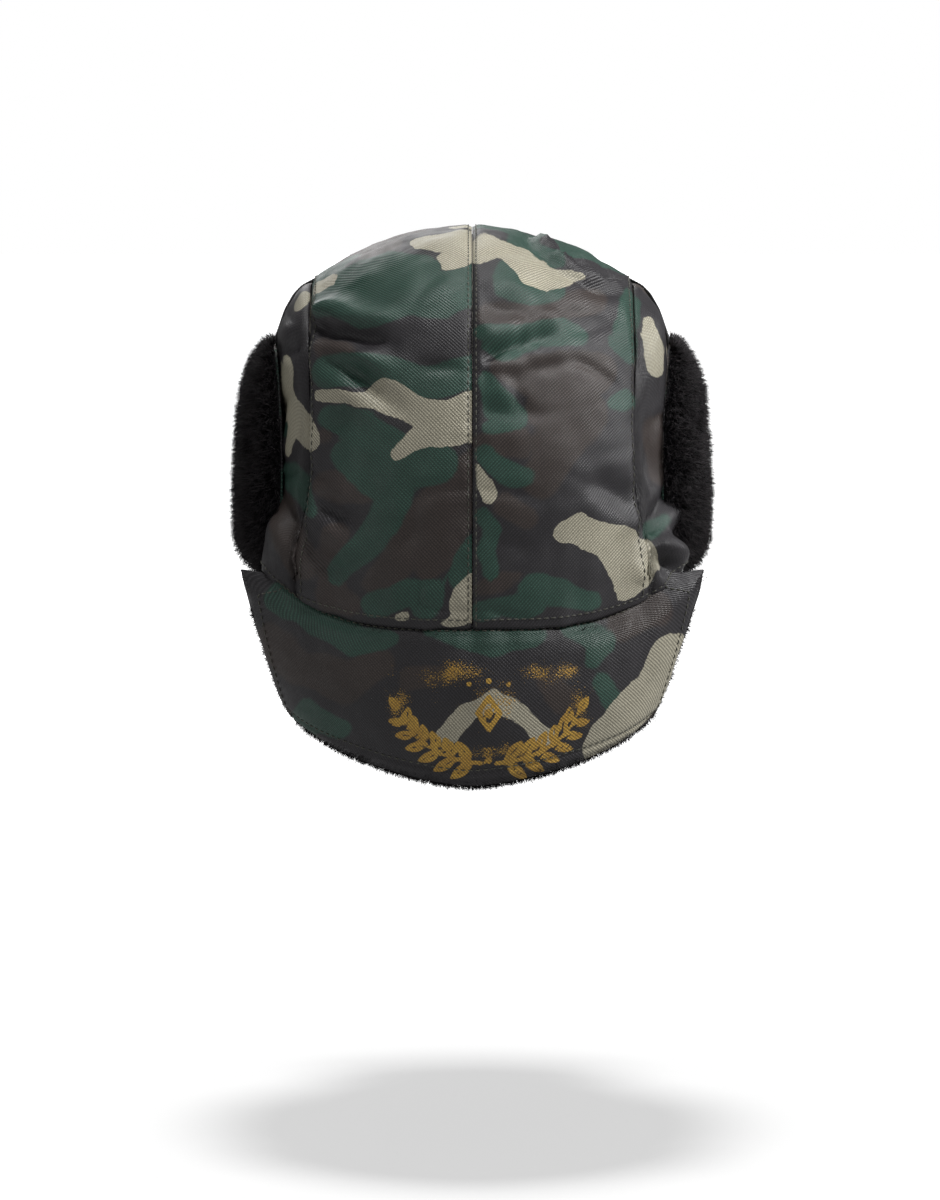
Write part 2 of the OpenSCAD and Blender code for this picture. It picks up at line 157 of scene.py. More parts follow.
def nearest(points, curve):
    """Distance from each point to a curve given as points."""
    flat = points.reshape(-1, 3)
    best = np.full(len(flat), 1e9)
    for start in range(0, len(curve), 40):
        part = curve[start:start + 40]
        gaps = np.linalg.norm(flat[:, None] - part[None], axis=2).min(1)
        best = np.minimum(best, gaps)
    return best.reshape(points.shape[:-1])


def lookup(grid, u, v):
    """Values of a grid at shares u and v (0 to 1) of its rows and columns."""
    rows, columns = grid.shape[:2]
    a = np.clip(u, 0, 1) * (rows - 1)
    b = np.clip(v, 0, 1) * (columns - 1)
    i = np.minimum(a.astype(int), rows - 2)
    j = np.minimum(b.astype(int), columns - 2)
    fa, fb = (a - i)[..., None], (b - j)[..., None]
    return ((grid[i, j] * (1 - fa) + grid[i + 1, j] * fa) * (1 - fb)
            + (grid[i, j + 1] * (1 - fa) + grid[i + 1, j + 1] * fa) * fb)


# ------------------------------------------------------------------ meshes

def link(name, mesh, body=None, material=None, replaces=()):
    piece = bpy.data.objects.new(name, mesh)
    bpy.context.scene.collection.objects.link(piece)
    if material:
        mesh.materials.append(material)
    if body:
        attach(piece, body)
    if replaces:
        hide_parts(*replaces)
    return piece


def make_mesh(name, points, faces, attributes=None):
    mesh = bpy.data.meshes.new(name)
    mesh.from_pydata((np.asarray(points) * MM).tolist(), [], faces)
    for key, values in (attributes or {}).items():
        values = np.asarray(values, np.float32)
        kind = "FLOAT_VECTOR" if values.ndim == 2 else "FLOAT"
        layer = mesh.attributes.new(key, kind, "POINT")
        layer.data.foreach_set("vector" if values.ndim == 2 else "value", values.ravel())
    mesh.polygons.foreach_set("use_smooth", np.ones(len(mesh.polygons), bool))
    mesh.update()
    return mesh


def closed_sheet(name, outer, inner, attributes=None):
    """A closed mesh between two grids of the same shape. Attributes are grids too."""
    rows, columns = outer.shape[:2]
    index = np.arange(rows * columns).reshape(rows, columns)
    a, b = index[:-1, :-1].ravel(), index[1:, :-1].ravel()
    c, d = index[1:, 1:].ravel(), index[:-1, 1:].ravel()
    under = rows * columns
    faces = np.stack([a, b, c, d], 1).tolist()
    faces += np.stack([d + under, c + under, b + under, a + under], 1).tolist()
    for edge, turn in ((index[0], 1), (index[-1], -1), (index[:, 0], -1), (index[:, -1], 1)):
        p, q = edge[:-1], edge[1:]
        side = np.stack([p, q, q + under, p + under], 1)
        faces += (side if turn > 0 else side[:, ::-1]).tolist()
    points = np.concatenate([outer.reshape(-1, 3), inner.reshape(-1, 3)])
    spread = {}
    for key, grid in (attributes or {}).items():
        flat = grid.reshape(under, -1) if grid.ndim == 3 else grid.ravel()
        spread[key] = np.concatenate([flat, flat])
    return make_mesh(name, points, faces, spread)


def faced_sheet(name, outer, inner, out, attributes=None):
    """A closed sheet whose outer grid faces along out, whichever way its rows and columns run."""
    if np.sum(grid_normals(outer) * out, axis=-1).mean() < 0:
        outer, inner = inner, outer
    return closed_sheet(name, outer, inner, attributes)


# ------------------------------------------------------------------ the crown's shape

def super_root(x, power):
    return np.maximum(0, 1 - np.abs(x) ** power) ** (1 / power)


def plan_share(x):
    return super_root(x / CROWN_HALF_W, PLAN_POWER)


def roof_share(x):
    return 1 - ROOF_FALL * (np.abs(x) / STRIP_HALF_W) ** ROOF_POWER


def edge_z(y):
    share = np.clip((y - DIP_START) / (CROWN_HALF_L - DIP_START), 0, 1)
    return -NAPE_DROP * np.sin(share * math.pi / 2)


def strip_point(x, v):
    """The centre strip: x across, v from the forehead over the top to the nape."""
    angle = math.pi * np.minimum(1, v / ARC_SHARE)
    half_l = CROWN_HALF_L * plan_share(x)
    high = CROWN_H * roof_share(x)
    below = np.maximum(0, v - ARC_SHARE) / (1 - ARC_SHARE)
    turn = np.cos(angle)
    y = -half_l * np.sign(turn) * np.abs(turn) ** (2 / CROWN_POWER)
    z = high * np.abs(np.sin(angle)) ** (2 / CROWN_POWER) + below * edge_z(half_l)
    return np.stack([x + 0 * v, y, z], axis=-1)


SIDE_HALF_L = float(CROWN_HALF_L * plan_share(STRIP_HALF_W))
SIDE_H = float(CROWN_H * roof_share(STRIP_HALF_W))
SIDE_PUFF = 8.5
SIDE_PUFF_REACH = (0.5, 0.9)


def side_point(u, v):
    """The left side panel: u from front to back, v from the crown's edge up to the side seam."""
    y = SIDE_HALF_L * np.sin((2 * u - 1) * math.pi / 2)
    low = edge_z(y)
    top = SIDE_H * super_root(y / SIDE_HALF_L, CROWN_POWER)
    z = low + (top - low) * v
    radius = ((np.abs(y) / SIDE_HALF_L) ** CROWN_POWER
              + (np.maximum(0, z) / SIDE_H) ** CROWN_POWER) ** (1 / CROWN_POWER)
    radius = np.minimum(1, radius)
    x = CROWN_HALF_W * super_root(plan_share(STRIP_HALF_W) * radius, PLAN_POWER)
    puffed = (1 - radius ** 10) ** 0.8 * ease(z / SIDE_H, *SIDE_PUFF_REACH)
    return np.stack([x + SIDE_PUFF * puffed, y + 0 * v, z], axis=-1)


# Behind the ears the crown's edge is pushed out to where the ear flaps are sewn on
BILLOW = 12.0
BILLOW_Y = 58.0
BILLOW_LENGTH = 24.0
BILLOW_TOP = (4.0, 46.0)


def billow(points):
    """How far the crown stands out behind the ears, as a movement of each point."""
    out = unit(points * [1 / CROWN_HALF_W ** 2, 1 / CROWN_HALF_L ** 2, 0])
    far = np.exp(-((points[..., 1] - BILLOW_Y) / BILLOW_LENGTH) ** 2)
    return (BILLOW * far * (1 - ease(points[..., 2], *BILLOW_TOP)))[..., None] * out


def spaced(low, high, step, fine=0.8, reach=6.0):
    """Values from low to high, closer together near both ends."""
    count = int(reach / fine)
    edge = np.linspace(0, reach, count, endpoint=False)
    middle = np.linspace(low + reach, high - reach, max(2, int((high - low - 2 * reach) / step)))
    return np.concatenate([low + edge, middle, high - edge[::-1]])


fine_v = np.linspace(0, 1, 1201)
center_seam = strip_point(np.zeros(1201), fine_v)
side_seam = strip_point(np.full(1201, STRIP_HALF_W), fine_v)
side_seam = side_seam + billow(side_seam)
side_seam_right = side_seam * [-1, 1, 1]


# ------------------------------------------------------------------ the chin strap's line over the crown

STRAP_W = 20.0
STRAP_T = 1.4
STRAP_LIFT = 2.4
STRAP_SWEEP = 1.4
SEAM_ANGLE = 64.0
BUCKLE_ANGLE = 53.4
BUCKLE_T = 7.6
BUCKLE_AIR = 0.8


def bulge(p):
    return unit(p / np.array([CROWN_HALF_W, CROWN_HALF_L, CROWN_H]) ** 2)


def strap_line(x):
    x = np.asarray(x, float)
    angle = BUCKLE_ANGLE + (SEAM_ANGLE - BUCKLE_ANGLE) * (np.abs(x) / STRIP_HALF_W) ** STRAP_SWEEP
    return strip_point(x, ARC_SHARE * angle / 180)


buckle_foot = strap_line(0.0)
buckle_up = bulge(buckle_foot)
buckle_center = buckle_foot + (BUCKLE_AIR + BUCKLE_T / 2) * buckle_up
buckle_across = np.array([0, buckle_up[2], -buckle_up[1]])
strap_rise = np.array([[93.9, -12.0, 103.5], [91.0, -18.0, 111.5], [88.0, -25.0, 116.6],
                       [84.6, -32.0, 119.6]])
strap_path = np.concatenate([strap_rise, strap_line(np.linspace(STRIP_HALF_W, -STRIP_HALF_W, 90)),
                             strap_rise * [-1, 1, 1]])


def at_buckle(x, h):
    return buckle_center + np.array([x, 0, 0]) + h * buckle_up


# ------------------------------------------------------------------ cloth simulation

def coarse_cloth(name, grid, held, grow):
    """A sheet to simulate. held is 1 where it is sewn down, grow where it has spare cloth."""
    rows, columns = grid.shape[:2]
    index = np.arange(rows * columns).reshape(rows, columns)
    faces = np.stack([index[:-1, :-1], index[1:, :-1], index[1:, 1:], index[:-1, 1:]], -1)
    mesh = make_mesh(name, grid.reshape(-1, 3), faces.reshape(-1, 4).tolist())
    piece = bpy.data.objects.new(name, mesh)
    bpy.context.scene.collection.objects.link(piece)
    for group_name, weights in (("held", held), ("grow", grow)):
        group = piece.vertex_groups.new(name=group_name)
        for i, w in enumerate(weights.ravel()):
            group.add([i], float(w), "REPLACE")
    cloth = piece.modifiers.new("cloth", "CLOTH")
    settings = cloth.settings
    settings.quality = 7
    settings.mass = 0.25
    settings.tension_stiffness = 20
    settings.compression_stiffness = 20
    settings.shear_stiffness = 8
    settings.bending_stiffness = 0.4
    settings.vertex_group_mass = "held"
    settings.pin_stiffness = 1
    settings.vertex_group_shrink = "grow"
    settings.shrink_min = 0.0
    settings.shrink_max = -0.12
    settings.use_pressure = True
    settings.uniform_pressure_force = 1.5
    settings.effector_weights.gravity = 0
    cloth.collision_settings.use_collision = False
    return piece


SIM_FRAMES = 20
MOST_MOVED = 5.0


def simulate(cloths):
    """Runs every sheet's cloth together. Returns each point's movement in mm, held below MOST_MOVED."""
    scene = bpy.context.scene
    for number in range(1, SIM_FRAMES + 1):
        scene.frame_set(number)
    depsgraph = bpy.context.evaluated_depsgraph_get()
    moves = []
    for piece, grid in cloths:
        settled = piece.evaluated_get(depsgraph).data
        points = np.zeros(len(settled.vertices) * 3)
        settled.vertices.foreach_get("co", points)
        move = points.reshape(grid.shape) / MM - grid
        size = np.linalg.norm(move, axis=-1, keepdims=True)
        capped = MOST_MOVED * np.tanh(size / MOST_MOVED)
        moves.append(move * (capped / np.maximum(size, 1e-6)))
    scene.frame_set(1)
    for piece, _ in cloths:
        bpy.data.objects.remove(piece)
    return moves


def shares(rows, columns):
    return np.meshgrid(np.linspace(0, 1, rows), np.linspace(0, 1, columns), indexing="ij")


# ------------------------------------------------------------------ neck flap, front flap and ear flaps

NECK_REACH = math.radians(59.5)
NECK_HALF_W = 113.5
NECK_FLARE = 0.135
NECK_TAPER = 0.11
NECK_TOP_L = 112.5
NECK_BELLY = 3.5
NECK_TUCK = 5.0
NECK_HEM_RISE = 24.0
NECK_CORNER_RISE = 8.0
NECK_TOP_GAP = 1.6
NECK_SEAM_OUT = 1.2
NECK_TUCKED = 4.5
NECK_FLARE_V = 0.16
NECK_SHELF_V = 0.04
NECK_HEM_CLEAR = 2.0
NECK_HEM = low_high("neck_flap_shell")[0][2] + NECK_HEM_CLEAR
NECK_HEM_FLAT = 0.25
NECK_SEAM_SAG = 2.0


def signed_pow(x, power):
    return np.sign(x) * np.abs(x) ** power


def neck_point(u, v):
    """The neck flap: u from the wearer's right to the left, v from its seam to its hem."""
    angle = NECK_REACH * (1 - 2 * u)
    side = np.abs(1 - 2 * u)
    flare = 1 + NECK_FLARE * side ** 4 * (1 - v)
    narrow = 1 - NECK_TAPER * v * v * side
    free_x = NECK_HALF_W * np.sin(angle) * flare * narrow
    free_y = (NECK_TOP_L + NECK_BELLY * np.sin(math.pi * v) - NECK_TUCK * v * v) * np.cos(angle)
    seam_x = (CROWN_HALF_W + NECK_SEAM_OUT) * signed_pow(np.sin(angle), 2 / PLAN_POWER)
    seam_y = (CROWN_HALF_L + NECK_SEAM_OUT) * np.cos(angle) ** (2 / PLAN_POWER)
    leave_v = NECK_FLARE_V + (NECK_SHELF_V - NECK_FLARE_V) * side ** 6
    out = ease(v, 0, leave_v)
    top = edge_z(seam_y) - NECK_TOP_GAP + NECK_CORNER_RISE * side ** 8
    hem = NECK_HEM + NECK_HEM_RISE * (1 + NECK_HEM_FLAT) * side * side / (side + NECK_HEM_FLAT)
    seam = np.stack([-seam_x, seam_y, top], axis=-1)
    seam = seam + billow(seam)
    free = np.stack([-free_x, free_y, top], axis=-1)
    place = seam + (free - seam) * out[..., None]
    place[..., 2] = top + (hem - top) * v - NECK_SEAM_SAG * (1 - out) * side ** 6
    return place


FRONT_FOLD_Y = 115.5
FRONT_WRAP = 17.0
FRONT_LEAN = 3.5
FRONT_FOOT = 0.5
FRONT_CORNER = 0.4
FRONT_HALF_W = 64.0
FRONT_H = 76.5


def front_point(u, v):
    side = 2 * u - 1
    x = FRONT_HALF_W * (1 - FRONT_CORNER * v ** 7) * side
    y = -FRONT_FOLD_Y + FRONT_WRAP * (x / FRONT_HALF_W) ** 2 + FRONT_LEAN * v * v
    return np.stack([x, y, FRONT_FOOT + FRONT_H * v], axis=-1)


EAR_FOLD_X = 98.5
EAR_CENTER_Y = -2.0
EAR_FOOT = -1.0
EAR_H = 101.5
EAR_HALF_W = 54.0
EAR_LEAN = 5.0
EAR_WRAP = 0.0028
EAR_HUG = 3.0
EAR_TIP_W = 0.68
EAR_CORNER_V = 0.93
EAR_LEAN_POWER = 2.2
EAR_WADDING_T = 2.6


def ear_point(u, v):
    side = 2 * u - 1
    half_w = EAR_HALF_W * (1 - (1 - EAR_TIP_W) * v) * np.sqrt(1 - (EAR_CORNER_V * v) ** 5)
    along = half_w * side
    hug = EAR_WRAP * along ** 2 + EAR_HUG * np.sin(math.pi * v) * side ** 2
    return np.stack([EAR_FOLD_X - EAR_LEAN * v ** EAR_LEAN_POWER - hug,
                     EAR_CENTER_Y + along, EAR_FOOT + EAR_H * v], axis=-1)


# ------------------------------------------------------------------ camouflage

# Chains of capsules, each (mm to the right, mm up, radius), as seen from behind the hat.
BEIGE = {
    "left": [
        [(-73, 76, 3), (-61, 74, 3.4), (-50, 74, 4.5), (-42, 75.5, 8), (-31, 71.5, 7.5), (-21, 66, 8),
         (-10, 63, 10), (4, 66, 13)],
        [(-10, 59, 8), (-20, 57, 6), (-28, 54, 5.2), (-38, 47, 2.4)],
        [(-27, 150, 3), (-16, 150, 5.5), (-5, 151, 7), (4, 148, 8)],
        [(-13, 141, 3.6), (-5, 144, 5.5)],
        [(-75, 129, 4.5), (-67, 133, 3)],
        [(-80, 126, 4), (-84, 120, 3.4)],
        [(-90, 93, 2), (-89, 80, 3.6), (-85, 67, 5), (-80, 59, 6), (-77, 53, 4)],
        [(-86, 60, 3), (-88, 49, 1.4)],
        [(0, -15, 5), (-2, -19, 6), (-5, -26, 6), (2, -28, 7)],
        [(-6, -30, 5), (-14, -34, 1.6)],
        [(-37, -31, 1.6), (-32, -30, 2.6)],
    ],
    "right": [
        [(2, 144, 5.5), (7, 147.5, 6.5), (14, 147, 4), (21, 142, 5), (28, 136, 6.8), (37, 132, 5.5),
         (46, 132.5, 4.4), (54, 132.5, 1.4)],
        [(3, 41, 1.2), (6, 33, 3), (9, 27, 3.2)],
        [(45, 10, 5.5), (52, 11, 7.5), (62, 7, 8.5), (72, 4, 9)],
        [(67, 1, 8), (73, -6, 9), (75, -14, 8), (73, -21, 3)],
        [(82, 2, 5), (84, -6, 5), (82, -13, 3.4)],
        [(84, 112, 3), (88, 98, 5), (89, 88, 3)],
    ],
    "neck": [
        [(96, -47, 9), (86, -64, 8.4), (72, -79, 9.5), (62, -95, 10)],
        [(-12, -87, 4.5), (-2, -76, 5), (9, -71, 5), (22, -77, 4.5), (34, -88, 4.5)],
    ],
}
GREEN = {
    "left": [
        [(-68, 123, 10), (-50, 120, 12), (-31, 127, 12), (-13, 125, 12), (2, 130, 10)],
        [(-60, 133, 6), (-39, 137, 8), (-23, 135, 8)],
        [(-69, 87, 8), (-52, 89, 8), (-31, 85, 7), (-16, 82, 8), (2, 87, 8)],
        [(-68, 65, 6), (-52, 60, 9), (-42, 52, 10), (-29, 42, 11), (-15, 43, 9)],
        [(-58, 46, 9), (-37, 29, 9), (-42, 16, 8), (-52, 3, 7), (-66, -10, 5)],
        [(1, 2, 6), (-3, -3, 7), (-6, -11, 6)],
        [(-47, -25, 6), (-31, -19, 7), (-18, -19, 6), (-22, -26, 6)],
        [(-88, 40, 5), (-83, 33, 6), (-77, 22, 4)],
        [(-92, 60, 4), (-96, 80, 5)],
    ],
    "right": [
        [(20, 150, 4), (31, 144, 6), (40, 142, 4)],
        [(17, 136, 6), (16, 128, 6), (28, 124, 5), (42, 126, 3.6)],
        [(75, 122, 5), (74, 107, 6), (76, 95, 4), (68, 102, 3.6)],
        [(5, 107, 4), (11, 105, 5), (29, 105, 5), (42, 106, 7), (50, 104, 5)],
        [(8, 100, 3), (15, 97, 5), (30, 101, 4)],
        [(7, 82, 5), (13, 70, 8), (21, 64, 6), (9, 60, 4)],
        [(7, 47, 5), (16, 38, 7), (25, 37, 5)],
        [(6, 19, 4), (10, 11, 4), (6, 1, 4), (9, -10, 3)],
        [(30, -18, 8), (43, -19, 7), (56, -23, 5)],
        [(5, -28, 5), (15, -26, 5), (30, -25, 5)],
        [(74, 73, 5), (68, 72, 3)],
        [(86, 10, 4), (92, 16, 3)],
    ],
    "neck": [
        [(-92, -22, 8), (-74, -31, 9), (-56, -42, 8), (-40, -41, 4)],
        [(-20, -36, 4), (-6, -39, 6), (10, -43, 6), (28, -39, 6)],
        [(48, -36, 6), (62, -42, 7), (58, -52, 4)],
        [(62, -62, 5), (68, -72, 5)],
        [(-80, -78, 7), (-64, -84, 6)],
    ],
}
BROWN = {
    "left": [
        [(-70, 98, 5), (-60, 97, 4)],
        [(-70, 34, 6), (-60, 32, 8), (-52, 29, 5)],
        [(-71, 56, 4)],
        [(2, 45, 6), (-5, 36, 8), (-16, 23, 11), (-26, 10, 11), (-37, -5, 9), (-49, -15, 5)],
        [(-8, 18, 10), (-13, 10, 10), (-20, -5, 8)],
        [(-66, 8, 7), (-68, -8, 6), (-68, -20, 8), (-58, -25, 5)],
        [(-92, 23, 7), (-88, 7, 8), (-81, -6, 8)],
        [(-50, 145, 4), (-38, 150, 4)],
    ],
    "right": [
        [(8, 115, 5), (25, 115, 6), (42, 118, 7), (58, 121, 6)],
        [(14, 89, 5), (28, 85, 10), (43, 85, 12), (58, 86, 11)],
        [(38, 70, 13), (54, 67, 11), (41, 53, 12), (33, 36, 9)],
        [(4, 53, 4), (22, 53, 7)],
        [(17, 23, 6), (26, 17, 6)],
        [(6, -16, 4), (14, -14, 5), (22, -12, 3)],
        [(90, 60, 8), (92, 40, 7)],
    ],
    "neck": [
        [(-98, -42, 8), (-82, -55, 9), (-60, -62, 10), (-44, -52, 6)],
        [(72, -34, 8), (88, -26, 9)],
        [(96, -70, 7), (88, -84, 6)],
        [(-30, -60, 6), (-14, -58, 5)],
        [(36, -60, 6), (46, -72, 6)],
    ],
}
STROKE_WAVER = 2.6
NOISE_LUMP = 46.0


def camo_fields(points, region, seed):
    """How far inside each colour a point is, in mm: green, brown, beige. Charcoal is the ground."""
    place = seen_from_behind(points)
    spread = points * [1.0, 1.0, 1.5]
    waver = np.stack([fractal(points, 12.0, seed + 40, 3), fractal(points, 12.0, seed + 50, 3)], axis=-1)
    place = place + STROKE_WAVER * waver
    fields = []
    scarce = 0.9 if region == "ear" else 0.2
    amounts = ((GREEN, 0.02, 0), (BROWN, 0.06, 11), (BEIGE, scarce, 23))
    for chains, threshold, shift in amounts:
        drawn = fractal(spread, NOISE_LUMP, seed + shift, 3) - threshold
        drawn = drawn * NOISE_LUMP * 0.5
        if region in chains:
            behind = ease(points[..., 1], 4, 30)
            strokes = np.maximum(inside_chains(place, chains[region]), -12)
            drawn = drawn * (1 - behind) + strokes * behind
        fields.append(drawn)
    return np.stack(fields, axis=-1)


# ------------------------------------------------------------------ materials

class Shader:
    """A material's node tree, built by calls that each add one node and return its output."""

    def __init__(self, name, **inputs):
        self.material = bpy.data.materials.new(name)
        self.material.use_nodes = True
        self.tree = self.material.node_tree
        self.surface = self.tree.nodes["Principled BSDF"]
        for key, value in inputs.items():
            self.set(self.surface.inputs[key.replace("_", " ")], value)

    def set(self, socket, value):
        if isinstance(value, bpy.types.NodeSocket):
            self.tree.links.new(value, socket)
        else:
            socket.default_value = value

    def node(self, kind, output=0, **values):
        made = self.tree.nodes.new(kind)
        for key, value in values.items():
            if key.startswith("set_"):
                setattr(made, key[4:], value)
            else:
                self.set(made.inputs[int(key[2:]) if key.startswith("in") else key], value)
        return made.outputs[output]

    def math(self, operation, a, b=0.0):
        return self.node("ShaderNodeMath", set_operation=operation, in0=a, in1=b)

    def remap(self, value, low, high, to_low=0.0, to_high=1.0):
        return self.node("ShaderNodeMapRange", set_interpolation_type="SMOOTHSTEP", in0=value, in1=low,
                         in2=high, in3=to_low, in4=to_high)

    def mix(self, share, a, b, blend="MIX"):
        made = self.tree.nodes.new("ShaderNodeMix")
        made.data_type = "RGBA"
        made.blend_type = blend
        for socket, value in ((made.inputs[0], share), (made.inputs[6], a), (made.inputs[7], b)):
            self.set(socket, value)
        return made.outputs[2]

    def noise(self, vector, size_mm, detail=2.0, rough=0.5):
        made = self.tree.nodes.new("ShaderNodeTexNoise")
        self.set(made.inputs["Vector"], vector)
        made.inputs["Scale"].default_value = 1.0 / size_mm
        made.inputs["Detail"].default_value = detail
        made.inputs["Roughness"].default_value = rough
        return made.outputs[0]

    def attribute(self, name, output="Vector"):
        made = self.tree.nodes.new("ShaderNodeAttribute")
        made.attribute_name = name
        return made.outputs[output]

    def parts(self, vector):
        made = self.tree.nodes.new("ShaderNodeSeparateXYZ")
        self.set(made.inputs[0], vector)
        return made.outputs

    def place_mm(self):
        """The point's place in the piece, in millimetres."""
        made = self.tree.nodes.new("ShaderNodeTexCoord")
        return self.node("ShaderNodeVectorMath", set_operation="SCALE", in0=made.outputs["Object"],
                         in3=1 / MM)

    def wave(self, value, pitch_mm):
        """A wave from 0 to 1 along value."""
        turned = self.math("MULTIPLY", value, 2 * math.pi / pitch_mm)
        return self.math("ADD", self.math("MULTIPLY", self.math("SINE", turned), 0.5), 0.5)

    def bump(self, height, distance_mm, strength=1.0):
        made = self.node("ShaderNodeBump", Strength=strength, Distance=distance_mm * MM, Height=height)
        self.set(self.surface.inputs["Normal"], made)

    def finish(self, **inputs):
        for key, value in inputs.items():
            self.set(self.surface.inputs[key.replace("_", " ")], value)
        return self.material


def rgb(hex_code):
    """A colour written as it looks on screen, made linear."""
    values = [int(hex_code[i:i + 2], 16) / 255 for i in (0, 2, 4)]
    return tuple(((v + 0.055) / 1.055) ** 2.4 if v > 0.04045 else v / 12.92 for v in values) + (1.0,)


CHARCOAL = rgb("2c2a2d")
CAMO_GREEN = rgb("2c473d")
CAMO_BROWN = rgb("3a322f")
CAMO_BEIGE = rgb("a39e8c")
GOLD = rgb("b8923e")


def camo_material(name, printed=False):
    s = Shader(name)
    cloth = s.attribute("cloth")
    across, along, _ = s.parts(cloth)
    fields = s.parts(s.attribute("camo"))
    ragged = s.math("SUBTRACT", s.noise(cloth, 2.2, 3.0, 0.6), 0.5)
    edge = s.math("MULTIPLY", ragged, 1.1)
    colour = CHARCOAL
    tone = s.noise(cloth, 26.0, 2.0)
    for field, paint, soft in ((fields[1], CAMO_BROWN, 1.3), (fields[0], CAMO_GREEN, 0.9),
                               (fields[2], CAMO_BEIGE, 0.25)):
        inside = s.remap(s.math("ADD", field, edge), -soft, soft)
        colour = s.mix(inside, colour, paint)
    if printed:
        colour = stencil(s, cloth, colour)
    diagonal = s.math("ADD", across, along)
    counter = s.math("SUBTRACT", across, along)
    rib = s.wave(diagonal, 1.7)
    pick = s.wave(counter, 1.7)
    slub = s.noise(cloth, 0.9, 2.0)
    crossing = s.math("MULTIPLY", s.math("MULTIPLY", rib, pick), 0.5)
    height = s.math("ADD", s.math("MULTIPLY", rib, 0.5), crossing)
    # Painted light and shade of the weave: the colour is made lighter on the raised threads and darker in
    # their dips, on top of the bump; slub and tone then vary it at random
    shade = s.remap(height, 0.0, 1.0, 0.58, 1.35)
    shade = s.math("MULTIPLY", shade, s.remap(slub, 0.2, 0.8, 0.8, 1.2))
    shade = s.math("MULTIPLY", shade, s.remap(tone, 0.25, 0.75, 0.9, 1.1))
    painted_weave_shade_and_tone = s.node("ShaderNodeCombineColor", in0=shade, in1=shade, in2=shade)
    colour = s.mix(1.0, colour, painted_weave_shade_and_tone, "MULTIPLY")
    s.bump(height, 0.16, 0.9)
    rough = s.remap(s.noise(cloth, 9.0, 2.0), 0.2, 0.8, 0.42, 0.56)
    return s.finish(Base_Color=colour, Roughness=rough, Specular_IOR_Level=0.4)


def stencil(s, cloth, colour):
    """Gold paint sprayed through a stencil, with a mist of fine drops round it."""
    shape = s.attribute("print", "Fac")
    drops = s.noise(cloth, 0.75, 3.0, 0.75)
    patches = s.noise(cloth, 9.0, 2.0)
    paint = s.remap(s.math("ADD", shape, s.math("MULTIPLY", s.math("SUBTRACT", drops, 0.5), 0.5)), -0.2, 0.15)
    worn = s.remap(drops, 0.24, 0.34)
    paint = s.math("MULTIPLY", paint, worn)
    reach = s.math("MULTIPLY", s.attribute("mist", "Fac"), 0.3)
    uneven = s.math("MULTIPLY", s.math("SUBTRACT", patches, 0.5), 0.5)
    mist = s.remap(s.math("ADD", s.math("ADD", drops, reach), uneven), 0.79, 0.83)
    gold = s.mix(s.remap(patches, 0.3, 0.7), GOLD, rgb("a88238"))
    return s.mix(s.math("MAXIMUM", paint, mist), colour, gold)


def plain_cloth(name, dark, light, pitch=1.0, rough=0.75, depth=0.1, sheen=0.2):
    """A plain woven cloth, two tones mixed by the weave's height: painted light on its raised crossings and
    painted shade in its dips, over a random tone.
    """
    s = Shader(name)
    across, along, _ = s.parts(s.attribute("cloth"))
    warp, weft = s.wave(across, pitch), s.wave(along, pitch)
    height = s.math("MULTIPLY", warp, weft)
    tone = s.noise(s.attribute("cloth"), 18.0, 3.0)
    # Painted shade in the weave's dips and painted light on its crossings, times a random tone
    shade = s.math("MULTIPLY", s.remap(height, 0, 1, 0.4, 1.0), s.remap(tone, 0.2, 0.8, 0.7, 1.0))
    s.bump(height, depth)
    return s.finish(Base_Color=s.mix(shade, dark, light), Roughness=rough, Sheen_Weight=sheen,
                    Specular_IOR_Level=0.35)


def fibre_material(name, dark, light, size=1.6, rough=0.9):
    s = Shader(name)
    place = s.place_mm()
    fibres = s.noise(place, size, 4.0, 0.7)
    clumps = s.noise(place, size * 7, 2.0)
    shade = s.math("MULTIPLY", s.remap(fibres, 0.25, 0.75), s.remap(clumps, 0.2, 0.8, 0.5, 1.0))
    s.bump(fibres, 0.5, 0.7)
    return s.finish(Base_Color=s.mix(shade, dark, light), Roughness=rough, Specular_IOR_Level=0.2)


def strand_material(name, colour, rough=0.5):
    """Single hairs: the tone varies from hair to hair by using two of these on one piece."""
    s = Shader(name)
    gloss = s.noise(s.place_mm(), 6.0, 2.0)
    return s.finish(Base_Color=colour, Specular_IOR_Level=s.remap(gloss, 0.2, 0.8, 0.12, 0.3),
                    Roughness=rough)


def plastic_material(name):
    s = Shader(name)
    grain = s.noise(s.place_mm(), 0.35, 2.0)
    wear = s.noise(s.place_mm(), 12.0, 3.0)
    s.bump(grain, 0.03, 0.6)
    return s.finish(Base_Color=s.mix(s.remap(wear, 0.3, 0.8), rgb("17171a"), rgb("232327")),
                    Roughness=s.remap(wear, 0.2, 0.8, 0.34, 0.5), Specular_IOR_Level=0.5)


def metal_material(name):
    s = Shader(name, Metallic=1.0)
    turned = s.noise(s.place_mm(), 1.2, 3.0)
    s.bump(turned, 0.02, 0.5)
    return s.finish(Base_Color=s.mix(s.remap(turned, 0.3, 0.7), rgb("3b3833"), rgb("5a564f")),
                    Roughness=s.remap(turned, 0.2, 0.8, 0.28, 0.45))


